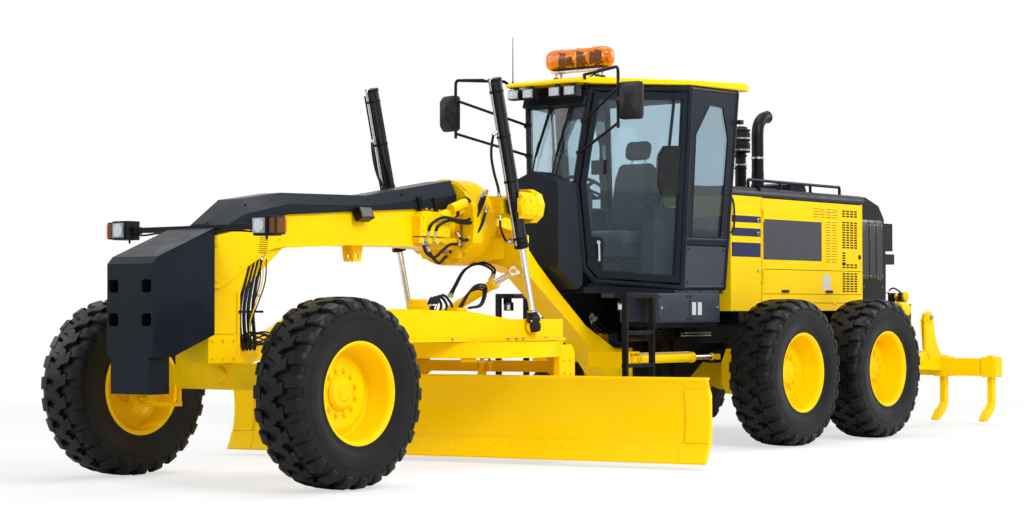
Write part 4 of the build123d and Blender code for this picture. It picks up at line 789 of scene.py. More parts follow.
def make_lift_cylinders():
    """Glands, ports, pipes, hoses and rod ends of the two lift cylinders."""
    piece = Piece("lift_barrel_fittings", "lift_barrels", "black")

    def side(part):
        up = Vector(lift_place(1)) - Vector(lift_place(0))
        base = lift_place(631)
        part.lathe([(-4, 46), (0, 58), (26, 58), (30, 54), (60, 54)], base, up, sides=32)
        part.lathe([(-10, 30), (-4, 34), (0, 34)], base, up, "steel", 24)
        top = lift_place(1935)
        part.lathe([(0, 55), (22, 55), (28, 48), (30, 0)], top, up, sides=32)
        part.lathe([(0, 66), (90, 66)], lift_place(918), up, sides=32)
        for d in (700, 1150, 1500, 1850):
            part.lathe([(0, 55), (18, 55)], lift_place(d), up, sides=28)
            part.box((-14, 14), (-16, 16), (-10, 10), frame_at=Matrix.Translation(lift_place(d + 9, -60)))
        part.bar(lift_place(660, -64), lift_place(1915, -64), 9, "steel", 12)
        part.bar(lift_place(1080, -60, 30), lift_place(1915, -60, 30), 7, sides=12)
        part.hose([lift_place(1915, -64), lift_place(1950, -60), lift_place(1960, -30)], 9, "steel", 10, 5)
        part.line([lift_place(1560, -78), lift_place(1530, -118, -10), lift_place(1400, -150, -30),
            lift_place(1260, -140, -40), lift_place(1130, -96, -60), lift_place(1050, -76, -80)], 11)
        part.line([lift_place(690, -66, -40), lift_place(720, -110, -60), lift_place(820, -120, -80),
            lift_place(905, -80, -96)], 10)
        part.box((-22, 22), (-24, 24), (-20, 20), "steel", Matrix.Translation(lift_place(700, -56, -34)))
    piece.both(side)
    piece.done(2, 1)

    ends = Piece("lift_rod_ends", "lift_rods", "black")

    def rod(part):
        up = Vector(lift_place(1)) - Vector(lift_place(0))
        part.lathe([(36, 44), (40, 52), (62, 54), (84, 50), (96, 40), (118, 38), (132, 30)], lift_place(0), up,
            "plastic", 32)
        part.lathe([(96, 42), (104, 42)], lift_place(0), up, sides=24)
        for a in (0.4, 1.97, 3.54, 5.1):
            spot = Vector(lift_place(50)) + Vector((cos(a) * 58, sin(a) * 58 * cos(LIFT_LEAN),
                sin(a) * 58 * sin(LIFT_LEAN)))
            part.lathe([(0, 9), (16, 9), (17, 7)], spot, up, "steel", 6)
    ends.both(rod)
    ends.done(1, 1)


def make_drawbar():
    """The drawbar's plates, sockets and ball neck, the circle's drive with its hoses, and the shoes."""
    piece = Piece("drawbar_details", "drawbar", "yellow")

    def side(part):
        part.prism([(262, 1080), (286, 1076), (630, 2740), (634, 3100), (604, 3100), (604, 2752)], "z", (956, 976))
        places = [(452, 1900), (560, 2440), (578, 2520), (590, 2590), (606, 2860), (612, 3010)]
        part.bolts([(x + 14, y, 976) for x, y in places], UP, 12)
        part.lathe([(0, 62), (14, 60), (30, 46), (42, 36)], (594, 2694, 1068), OUT, "yellow_cast", 28)
        ears = [(600, 2694 + 46 * sin(a), 1068 + 46 * cos(a)) for a in (0.5, 1.55, 2.6, 3.7, 4.7, 5.8)]
        part.bolts(ears, OUT, 8, "yellow_cast")
        part.lathe([(-42, 20), (-38, 40), (-10, 50), (16, 50), (30, 40)], (630, 2694, 1068), (0, -0.25, 0.97),
            "plastic", 28)
    piece.both(side)
    piece.lathe([(0, 66), (16, 72), (60, 66), (120, 56), (170, 52)], (0, 160, 882), (0, 0.986, 0.164), "yellow_cast",
        36)
    piece.done(3, 2)
    motor = Piece("circle_drive", "drawbar", "yellow_cast")
    motor.lathe([(0, 150), (60, 150), (66, 140), (92, 140), (96, 92), (190, 88), (196, 74), (240, 70)],
        (0, 2035, 1040), UP, sides=36)
    motor.box((-70, 70), (1900, 2040), (1070, 1180))
    motor.bar((60, 1960, 1130), (200, 1960, 1130), 46, "black", 28)
    motor.bolts([(122 * sin(a), 2035 + 122 * cos(a), 1132) for a in angles(8)], UP, 10)
    motor.box((-50, 50), (2090, 2180), (1160, 1230), "black")
    for i, x in enumerate((-40, -14, 14, 40)):
        motor.line([(x, 2180, 1200), (x * 1.4, 2260, 1290 + i * 8), (x * 2 + 40, 2300, 1230),
            (x * 3 + 60, 2200, 1120), (x * 3 + 90, 2060, 1090)], 11)
    for i in range(3):
        motor.hose([(250 + i * 14, 2180, 1160), (300 + i * 20, 2290, 1330 + i * 20),
            (350 + i * 16, 2400, 1350 + i * 14), (380 + i * 10, 2330, 1240), (350 + i * 10, 2220, 1212)], 9, sides=10,
            steps=6)
    motor.box((230, 330), (2110, 2230), (1140, 1215))
    motor.done(4, 2)
    shoes = Piece("circle_shoes", "drawbar", "steel")
    for angle in (48, 132, 229, 311):
        shoes.turn = placed((0, CIRCLE_Y, 0), angle)
        shoes.bolts([(x, y, 970) for x in (672, 728) for y in (-34, 34)], UP, 10)
        shoes.box((645, 760), (-66, 66), (951, 968), "yellow_cast")
    shoes.done(2, 1)


def make_circle():
    """The circle's teeth and top ring, and the bolts, pivots and plates of its arms."""
    piece = Piece("circle_details", "circle", "yellow")
    piece.turn = CIRCLE_TURN
    for a in angles(CIRCLE_TEETH):
        face = []
        for r, w in ((680, 0.017), (656, 0.008), (656, -0.008), (680, -0.017)):
            face.append((r * sin(a + w), r * cos(a + w)))
        piece.prism(face, "z", (838, 905), "yellow_cast")
    piece.lathe([(0, 771), (0, 776), (12, 776), (12, 771)], (0, 0, 938), UP, sides=96, caps=False)

    def side(part):
        part.bolts([(751, y, z) for y, z in ((230, 800), (330, 800), (240, 700), (350, 690))], OUT, 12, "yellow_cast")
        part.lathe([(0, 58), (10, 58), (14, 50), (14, 34), (20, 30), (20, 0)], (750, 40, 215), OUT, "yellow_cast", 32)
        part.box((560, 724), (352, 413), (690, 830))
        part.prism([(700, 745), (480, 745), (700, 560)], "y", (372, 392))
    piece.both(side)
    piece.done(3, 2)


BLADE_FOOT, BLADE_HEAD, BLADE_HOLLOW = (-175, 45), (-150, 690), 90
BLADE_MIDDLE, BLADE_LENGTH = -24, 4270


def blade_point(t, off=0.0):
    """A place on the blade's hollow face, from its foot at 0 to its head at 1, moved back by off."""
    (y0, z0), (y1, z1) = BLADE_FOOT, BLADE_HEAD
    ym, zm = (y0 + y1) / 2 + BLADE_HOLLOW, (z0 + z1) / 2
    a, b, c = Vector((y0, z0)), Vector((ym, zm)), Vector((y1, z1))
    d = 2 * (a.x * (b.y - c.y) + b.x * (c.y - a.y) + c.x * (a.y - b.y))
    ux = (a.length_squared * (b.y - c.y) + b.length_squared * (c.y - a.y) + c.length_squared * (a.y - b.y)) / d
    uy = (a.length_squared * (c.x - b.x) + b.length_squared * (a.x - c.x) + c.length_squared * (b.x - a.x)) / d
    centre = Vector((ux, uy))
    radius = (a - centre).length
    start, end = atan2(a.y - uy, a.x - ux), atan2(c.y - uy, c.x - ux)
    angle = start + (end - start) * t
    return (ux + (radius + off) * cos(angle), uy + (radius + off) * sin(angle))


def make_blade():
    """The blade's edges, bolts, ribs and rails, and the fittings of the side-shift cylinder."""
    piece = Piece("moldboard_details", "moldboard", "yellow")
    piece.turn = CIRCLE_TURN
    low, high = BLADE_MIDDLE - BLADE_LENGTH / 2, BLADE_MIDDLE + BLADE_LENGTH / 2

    def strip(x0, x1, t0, t1, depth):
        outline = [blade_point(t0 + (t1 - t0) * i / 8, -depth) for i in range(9)]
        outline += [blade_point(t1 - (t1 - t0) * i / 8, 1) for i in range(9)]
        piece.prism(outline, "x", (x0, x1))
    for x0, x1 in ((low + 2, low + 196), (high - 196, high - 2)):
        strip(x0, x1, 0.245, 0.86, 12)
    strip(low + 1, low + 230, -0.004, 0.222, 20)
    strip(high - 230, high - 1, -0.004, 0.222, 20)
    strip(low + 232, BLADE_MIDDLE - 2, -0.002, 0.218, 18)
    strip(BLADE_MIDDLE + 2, high - 232, -0.002, 0.218, 18)
    spots = []
    for x in [low + 60 + i * (BLADE_LENGTH - 120) / 29 for i in range(30)]:
        spots.append((x, 0.165, 19))
    for x in (low + 50, low + 150, high - 150, high - 50):
        spots += [(x, t, 12) for t in (0.32, 0.56, 0.80)]
    for x, t, depth in spots:
        y, z = blade_point(t, -depth)
        back = blade_point(t, -depth + 10)
        piece.lathe([(-3, 13), (1.0, 13), (1.6, 11)], (x, y, z), (0, y - back[0], z - back[1]), "yellow_cast", 14)
    for x in (low + 10, low + 400, -700, 700, high - 400, high - 22):
        outline = [blade_point(t / 8 * 0.8 + 0.1, 24) for t in range(9)]
        outline += [(blade_point(0.9, 24)[0] + 22, blade_point(0.9)[1]), (-16, 560), (-16, 180),
            (blade_point(0.1, 24)[0] + 20, blade_point(0.1)[1])]
        piece.prism(outline, "x", (x, x + 12))
    piece.done(2, 1)
    rails = Piece("blade_rails", "moldboard", "steel")
    rails.turn = CIRCLE_TURN
    for z in (215, 520):
        rails.box((low + 124, high - 124), (-15, -11), (z - 18, z + 18))
    rails.done(1, 1)
    cylinder = Piece("side_shift_fittings", "blade_bracket", "black")
    cylinder.turn = CIRCLE_TURN
    for x in (-915, 770):
        cylinder.lathe([(0, 41), (44, 41), (48, 37)], (x, 52, 560), OUT, "yellow_cast", 28)
    cylinder.line([(-570, 92, 560), (-500, 128, 590), (-350, 124, 604), (-200, 100, 620), (-60, 110, 660)], 10)
    cylinder.line([(570, 92, 560), (500, 128, 590), (350, 120, 604), (200, 100, 620), (70, 110, 660)], 10)
    cylinder.bolts([(x, 60, z) for x in (-560, -300, 300, 560) for z in (396, 424)], BACK, 10)
    cylinder.done(1, 1)


def make_small_cylinders():
    """Glands, ports and pipes on the other cylinders."""
    shift = Piece("shift_cylinder_fittings", "shift_barrel", "yellow_cast")
    top, foot = Vector((475, 2650, 1502)), Vector((-300, 2650, 1149))
    along = (foot - top).normalized()
    shift.lathe([(0, 46), (34, 46), (38, 43)], top + along * 213, along, sides=28)
    shift.lathe([(-6, 30), (0, 34)], top + along * 213, along, "steel", 20)
    shift.box((-22, 22), (-22, 22), (-18, 18), frame_at=Matrix.Translation(top + along * 280 + Vector((20, 0, 46))))
    for i in range(2):
        p = top + along * (270 + i * 26) + Vector((22, 0, 60))
        shift.line([p, p + Vector((30, -20, 70)), p + Vector((-60, -60 - i * 20, 120)), p + Vector((-220, -70, 70)), p
            + Vector((-330, -60, -60)), p + Vector((-400, -40, -150 + i * 20))], 10)
    shift.done(2, 1)
    for side, sign in SIDES.items():
        barrel = Piece(f"frame_cylinder_fittings_{side}", f"frame_cylinder_barrel_{side}", "yellow_cast")
        x = sign * 450
        barrel.lathe([(0, 47), (40, 47), (44, 42)], (x, 5140, 780), BACK, sides=28)
        barrel.lathe([(0, 47), (22, 47)], (x, 4330, 780), BACK, sides=28)
        barrel.bar((x, 4360, 826), (x, 5120, 826), 7, "steel", 10)
        barrel.bar((x, 4400, 822), (x, 4400, 836), 12, "steel", 6)
        barrel.done(1, 1)
        eye = Piece(f"frame_rod_eye_{side}", f"frame_cylinder_rod_{side}", "yellow_cast")
        eye.lathe([(-28, 42), (28, 42)], (x, 5560, 780), UP, sides=28)
        eye.bar((x, 5520, 780), (x, 5480, 780), 32, sides=24)
        eye.done(3, 2)
    tip = Piece("tip_cylinder_fittings", "tip_barrel", "yellow_cast")
    tip.turn = CIRCLE_TURN
    a, b = Vector((0, 300, 745)), Vector((0, 105, 410))
    way = (b - a).normalized()
    tip.lathe([(0, 41), (30, 41), (33, 38)], a + way * 243, way, sides=26)
    tip.line([a + way * 70 + Vector((0, 40, 0)), a + Vector((20, 60, 40)), a + Vector((50, -40, 70)), a
        + Vector((70, -180, 60))], 9)
    tip.done(1, 1)
    rip = Piece("ripper_cylinder_fittings", "ripper_barrels", "yellow_cast")

    def ripper_side(part):
        top, foot = Vector((440, 8980, 1320)), Vector((440, 9400, 740))
        way = (foot - top).normalized()
        part.lathe([(0, 46), (32, 46), (36, 42)], top + way * 436, way, sides=28)
        part.lathe([(0, 45), (20, 45)], top + way * 60, way, sides=28)
        up = Vector((0, 0.81, 0.58))
        part.bar(top + way * 70 + up * 46, top + way * 430 + up * 46, 7, "steel", 10)
        part.line([top + way * 80 + up * 46, top + up * 90 + way * 40, top + Vector((-40, -30, 90)), top
            + Vector((-90, -90, 40))], 9)
    rip.both(ripper_side)
    rip.done(1, 1)


make_lift_cylinders()
make_drawbar()
make_circle()
make_blade()
make_small_cylinders()


# Cab ------------------------------------------------------------------------------------------------

TOP_FRONT, KNEE, LOW_FRONT = (327, 3845, 3043), (240, 3757, 2240), (253, 3852, 1537)
SILL_FRONT, SILL_MIDDLE, TOP_MIDDLE = (279, 3974, 1434), (600, 4785, 1386), (700, 4786, 3086)
DOOR = [SILL_FRONT, SILL_MIDDLE, TOP_MIDDLE, TOP_FRONT, KNEE, LOW_FRONT]


def right(point):
    """The same place on the right side."""
    return (-point[0], point[1], point[2])


# The panel behind the door and the window in it: y, z
QUARTER = [(4800, 1760), (5466, 1760), (5505, 2700), (5510, 3085), (4800, 3085), (4800, 2700)]
QUARTER_WINDOW = [(4890, 1830), (5345, 1830), (5392, 2700), (5290, 2955), (5080, 2965), (4885, 2700)]


def cab_side(y, z, out=0.0):
    """A place on the cab's side behind the door, moved outwards by out."""
    return (600 + 100 * (z - 1386) / 1700 + out, y, z)


def inset(corners, by):
    """A polygon drawn in by a distance, on its own plane; by may be one number a side."""
    pts = [Vector(c) for c in corners]
    n = len(pts)
    by = [by] * n if isinstance(by, (int, float)) else by
    normal = (pts[1] - pts[0]).cross(pts[2] - pts[0]).normalized()
    moved = []
    for i in range(n):
        a, b, c = pts[i - 1], pts[i], pts[(i + 1) % n]
        d0, d1 = (b - a).normalized(), (c - b).normalized()
        n0, n1 = normal.cross(d0), normal.cross(d1)
        p0, p1 = b + n0 * by[i - 1], b + n1 * by[i]
        cross = d0.cross(d1)
        if cross.length < 1e-6:
            moved.append(p1)
            continue
        t = (p1 - p0).cross(d1).dot(cross) / cross.length_squared
        moved.append(p0 + d0 * t)
    return [tuple(p) for p in moved]


def door_at(forward, up, out=0.0):
    """A place on the left door's plane: forward from the hinge post, up it, and out from the pane."""
    foot, axis = Vector(SILL_MIDDLE), (Vector(TOP_MIDDLE) - Vector(SILL_MIDDLE)).normalized()
    ahead = Vector(SILL_FRONT) - foot
    ahead = (ahead - axis * ahead.dot(axis)).normalized()
    return foot + axis * up + ahead * forward + axis.cross(ahead) * out


def make_cab_shell():
    """Panels round the cab's glass, and its floor, boxes and ceiling inside."""
    piece = Piece("cab_panels", "rear_frame", "slate")

    def side(part):
        outer, window = ([cab_side(y, z, 10) for y, z in corners] for corners in (QUARTER, QUARTER_WINDOW))
        part.plate(outer, (-5, 9), hole=window)
        edge = inset(window, -9)
        part.plate(edge, (7, 12), "rubber", window)
        foot = [cab_side(y, z, 4) for y, z in ((4815, 1400), (5430, 1400), (5440, 1745), (4815, 1745))]
        part.plate(foot, (-6, 14), "grey")
        part.bolts([cab_side(y, z, 18) for y in (4850, 5400) for z in (1430, 1715)], (1, 0, -0.06), 7, "black")
        part.bar(cab_side(4800, 1420, 14), cab_side(4800, 3060, 14), 11, "rubber", 10)
        part.bar(cab_side(5500, 2850, 20), cab_side(5560, 2850, 30), 13, "plastic", 14)
        part.box((712, 752), (5508, 5560), (2828, 2866), "plastic")
    piece.both(side)
    head = [(-318, 3782, 2900), (318, 3782, 2900), (330, 3845, 3050), (-330, 3845, 3050)]
    piece.plate(head, (-4, 26))
    piece.plate([(-236, 3742, 2225), (236, 3742, 2225), (238, 3748, 2262), (-238, 3748, 2262)], (-2, 12))
    lower = [right(LOW_FRONT), LOW_FRONT, KNEE, right(KNEE)]
    piece.plate(inset(lower, 26), (2, 8))
    piece.plate([(-560, 5470, 1440), (560, 5470, 1440), (590, 5496, 1950), (-590, 5496, 1950)], (-2, -14))
    piece.done(4, 2)

    inner = Piece("cab_lining", "rear_frame", "interior")
    inner.prism([(300, 3870), (640, 4790), (640, 5480), (-640, 5480), (-640, 4790), (-300, 3870)], "z", (3046, 3062))
    inner.prism([(250, 3905), (560, 4790), (560, 5420), (-560, 5420), (-560, 4790), (-250, 3905)], "z", (1387, 1397),
        "rubber")
    for i in range(16):
        x = -300 + i * 40
        inner.box((x, x + 14), (4060 if abs(x) < 260 else 4350, 4700), (1397, 1401), "rubber")
    inner.box((-560, 560), (5290, 5440), (1397, 1930))
    inner.box((-300, 300), (5250, 5420), (1930, 1960), "plastic")
    for side in (1, -1):
        inner.box((side * 500, side * 575), (4860, 5420), (1397, 1800))
        inner.box((side * 180, side * 300), (4150, 4700), (3020, 3046), "plastic")
    for y0, y1, x0, x1 in ((3960, 4740, -375, -622), (4830, 5400, -640, -640)):
        inner.rings([[(x0, y0, z), (x1, y1, z), (x1 + 12, y1, z), (x0 + 12, y0, z)] for z in (2912, 3046)])
    inner.hose([(-330, 3900, 2950), (-318, 4100, 2965), (-400, 4600, 2975), (-500, 5000, 2975)], 16, "interior", 10,
        5)
    inner.done(6, 2)


DOOR_FRAME = 86


def make_doors():
    """Seals, pull, latch, grab rail and hinge bolts of each cab door."""
    for side, sign in SIDES.items():
        piece = Piece(f"door_trim_{side}", f"cab_door_{side}", "plastic")
        piece.turn = side_turn(sign)
        piece.plate(inset(DOOR, DOOR_FRAME + 1), (13, 18), "rubber", inset(DOOR, DOOR_FRAME + 13))
        piece.plate(inset(DOOR, 33), (-10, -4), "rubber", inset(DOOR, 52))
        normal = Vector(door_at(0, 0, 1)) - Vector(door_at(0, 0, 0))
        # Corner panel with the pull, at the lower front
        panel = [(972, 168), (868, 66), (822, 66), (819, 360), (848, 400), (980, 400)]
        piece.rings([[door_at(f, u, d) for f, u in panel] for d in (6, 30)], "slate")
        piece.bar(door_at(880, 350, 44), door_at(868, 216, 44), 12, "chrome", 14)
        piece.lathe([(0, 18), (16, 18)], door_at(881, 356, 30), normal, "chrome", 16)
        piece.lathe([(0, 13), (14, 13)], door_at(867, 210, 30), normal, "chrome", 16)
        # Latch housing inside the rear edge, and the tall grab rail
        housing = [(60, 800), (250, 780), (290, 860), (290, 1120), (240, 1200), (90, 1210), (60, 1150)]
        piece.rings([[door_at(f, u, d) for f, u in housing] for d in (22, -24)])
        lid = [(80, 830), (240, 812), (270, 870), (270, 1100), (230, 1170), (100, 1180), (80, 1130)]
        piece.rings([[door_at(f, u, d) for f, u in lid] for d in (-24, -60)])
        piece.bar(door_at(200, 1190, 20), door_at(178, 1580, 28), 13, sides=12)
        piece.bar(door_at(178, 1580, 28), door_at(172, 1600, 0), 13, sides=12)
        for u in (300, 900, 1490):
            piece.bolts([door_at(66, u + s, 14) for s in (-22, 22)], normal, 7, "black")
        piece.done(4, 2)


def make_wipers_and_mirrors():
    """Wipers, work lamps, mirrors on their arms, roof plates and aerial."""
    piece = Piece("roof_lights_and_mirrors_shape", "rear_frame", "black")

    def wiper(part, foot, tip, blade):
        part.bar(foot, tip, 8, "black", 10)
        part.bar((foot[0] + 20, foot[1] - 2, foot[2]), (tip[0] + 14, tip[1] - 1, tip[2]), 5, "black", 8)
        part.bar(blade[0], blade[1], 7, "rubber", 8)
        part.lathe([(0, 20), (26, 20), (28, 14)], foot, (0, -1, 0.1), "black", 16)
    wiper(piece, (150, 3812, 2905), (40, 3752, 2480), [(70, 3764, 2610), (10, 3738, 2330)])
    wiper(piece, (-60, 3812, 2905), (-180, 3752, 2480), [(-150, 3764, 2610), (-205, 3738, 2330)])

    def lamps(part):
        for x in (138, 294):
            part.box((x - 60, x + 60), (3618, 3690), (2962, 3048), "plastic")
            part.box((x - 56, x + 56), (3604, 3620), (2966, 3044), "plastic")
            dish = ((39, 3597), (30, 3601.5), (8, 3603))
            part.rings([[(x + r * cos(t) * 1.25, y, 3005 + r * sin(t) * 0.86) for t in angles(20)]
                for r, y in dish], "chrome")
            part.box((x - 50, x + 50), (3602, 3604.5), (2971, 3039), "steel")
            for i in range(9):
                part.bar((x - 42 + i * 10.5, 3596, 2974), (x - 42 + i * 10.5, 3596, 3036), 3, "clear", 8)
            part.box((x - 51, x + 51), (3592, 3597), (2970, 3040), "clear")
            part.prism([(x - 26, 3046), (x + 26, 3046), (x + 14, 3074), (x - 14, 3074)], "y", (3640, 3660))
            part.hose([(x, 3690, 3010), (x + 8, 3730, 3030), (x + 20, 3760, 3050)], 6, sides=8, steps=4)
        part.bar((322, 3812, 3010), (420, 3640, 3128), 13, sides=12)
        part.bar((420, 3640, 3128), (830, 3517, 3155), 13, sides=12)
        part.hose([(600, 3590, 3148), (800, 3527, 3154), (838, 3516, 3148), (850, 3515, 3110), (850, 3515, 2950)],
            13, "black", 12, 6)
        part.bar((850, 3515, 3110), (850, 3515, 2660), 13, sides=12)
        part.bar((300, 3800, 2760), (846, 3518, 2985), 12, sides=12)
        part.bar((268, 3778, 2500), (846, 3518, 2700), 12, sides=12)
        for spot in ((300, 3800, 2760), (268, 3778, 2500), (322, 3815, 3005)):
            part.lathe([(-18, 26), (18, 26)], spot, (0.3, 0.9, 0.3), sides=16)
        back = placed((952, 3535, 2880), 12)
        shell = []
        for y, w, h in ((62, 86, 138), (48, 100, 152), (10, 100, 152), (-30, 78, 118), (-58, 40, 60), (-64, 18, 34)):
            ring = []
            for sx, sz, a0 in ((1, 1, 0), (-1, 1, 90), (-1, -1, 180), (1, -1, 270)):
                for k in range(4):
                    a = radians(a0 + k * 30)
                    r = min(w, h) * 0.3
                    ring.append(back @ Vector((sx * (w - r) + r * cos(a), y, sz * (h - r) + r * sin(a))))
            shell.append(ring)
        part.rings(shell, "plastic")
        part.plate([back @ Vector(p) for p in ((-84, 63, -134), (84, 63, -134), (84, 63, 134), (-84, 63, 134))],
            (-3, 0.5), "chrome")
        part.bar((850, 3515, 2890), back @ Vector((-40, -30, 0)), 20, "plastic", 14)
        part.box((834, 868), (3500, 3532), (2862, 2918), "plastic")
        part.box((196, 244), (4086, 4194), (3134, 3158), "steel")
        for y in (4105, 4175):
            part.bar((220, y, 3150), (220, y, 3232), 12, "steel", 12)
            part.lathe([(0, 24), (14, 24)], (220, y, 3168), UP, "rubber", 14)
        part.box((180, 262), (4086, 4194), (3222, 3236), "steel")
    piece.both(lamps)
    piece.hose([(200, 4150, 3230), (190, 4130, 3200), (150, 4060, 3160), (120, 3980, 3140)], 7, sides=8, steps=5)
    piece.lathe([(0, 16), (26, 14), (40, 8), (60, 4.5), (420, 2.5), (425, 2.5)], (-352, 3672, 3076), UP, sides=12)
    piece.box((-376, -328), (3656, 3690), (3062, 3080))
    piece.done(3, 2, 30, ("roof_lights_and_mirrors",))


BEACON_Y = 4150


def make_beacon():
    """The long amber beacon: base, two turning lamps with their mirrors, and the lens over them."""
    base = Piece("beacon_base", "rear_frame", "plastic")
    base.turn = placed((0, BEACON_Y, 0))
    base.box((-262, 262), (-58, 58), (3250, 3262))
    base.box((-262, 262), (-44, 44), (3226, 3240), "steel")
    for x in (-255, -100, 100, 255):
        base.lathe([(0, 42), (14, 40), (18, 16), (90, 14)], (x, 0, 3262), UP, "steel", 20)
        for a in (0, pi):
            dish = Matrix.Translation((x, 0, 3336)) @ Matrix.Rotation(a + x * 0.01, 4, "Z")
            base.rings([[dish @ Vector((r * cos(t), 10 + d, r * sin(t))) for t in angles(16)]
                for r, d in ((56, 30), (42, 10), (18, 0))], "chrome")
    for x in (-190, 0, 190):
        base.box((x - 3, x + 3), (-50, 50), (3262, 3400))
        base.lathe([(0, 34), (40, 40), (80, 34), (96, 12)], (x * 0.84 + 52, 0, 3270), UP, sides=18)
    base.done(1, 1)
    lens = Piece("beacon_lens", "rear_frame", "amber")
    rings = []
    half = [(336, 0.30), (332, 0.50), (320, 0.72), (300, 0.88), (276, 0.96), (246, 1), (170, 1), (166, 0.94),
            (8, 0.94), (4, 1)]
    for x, s in [(-x, s) for x, s in half] + half[::-1]:
        ring = []
        for a in angles(28):
            ring.append((x, BEACON_Y + 85 * s * copysign(abs(cos(a)) ** 0.75, cos(a)), 3334
                + 94 * s * copysign(abs(sin(a)) ** 0.75, sin(a))))
        rings.append(ring)
    lens.rings(rings)
    lens.done(0, 1, 50)


WHEEL_HUB = (0, 4210, 2240)


def make_cab_inside():
    """Steering wheel, console with keys, and the two lever boxes beside the seat."""
    piece = Piece("wheel_and_console", "rear_frame", "interior")
    lean = placed(WHEEL_HUB, -26.6, "X")
    rim = []
    for i in range(49):
        a = tau * i / 48
        rim.append([lean @ Vector(((186 + 15 * cos(t)) * cos(a), (186 + 15 * cos(t)) * sin(a), 15 * sin(t)))
            for t in angles(10)])
    piece.rings(rim, "plastic", caps=False)
    for angle in (90, 210, 330):
        a = radians(angle)
        spoke = ((-16, -6), (16, -6), (16, 6), (-16, 6))
        piece.rings([[lean @ Vector((r * cos(a) - w * sin(a), r * sin(a) + w * cos(a), z)) for w, z in spoke]
            for r in (20, 100, 184)], "plastic")
    piece.lathe([(-22, 50), (10, 52), (18, 40), (20, 0)], WHEEL_HUB, (0, 0.447, 0.894), "plastic", 28)
    piece.box((-190, 190), (3952, 4010), (2060, 2250), "plastic")
    piece.plate([(-170, 4012, 2085), (170, 4012, 2085), (170, 4020, 2235), (-170, 4020, 2235)][::-1], (0, 4), "dark")
    for i in range(6):
        piece.box((-150 + i * 52, -120 + i * 52), (4018, 4026), (2100 + (i % 2) * 60, 2128 + (i % 2) * 60), "steel")
    for x in (-420, 420):
        piece.prism([(4540, 1990), (4540, 2055), (4590, 2085), (5120, 2070), (5150, 1990)], "x", (x - 62, x + 62),
            "plastic")
        for i in range(4):
            y = 4580 + i * 58
            for dx in (-26, 26):
                piece.lathe([(0, 13), (10, 9), (70, 5), (92, 5), (96, 13), (120, 12), (124, 0)], (x + dx, y, 2070),
                    (0, -0.15, 1), "plastic", 12)
        for i in range(3):
            piece.box((x - 34, x - 10), (4900 + i * 60, 4930 + i * 60), (2078, 2090), "steel")
    piece.box((300, 340), (4010, 4030), (2280, 2470), "plastic")
    piece.box((225, 385), (4000, 4020), (2330, 2450), "plastic")
    piece.box((100, 180), (3960, 4020), (1500, 1560), "rubber")
    piece.done(5, 2)


make_cab_shell()
make_doors()
make_wipers_and_mirrors()
make_beacon()
make_cab_inside()


# Hood, rear and ripper ------------------------------------------------------------------------------

HOOD_X = 600


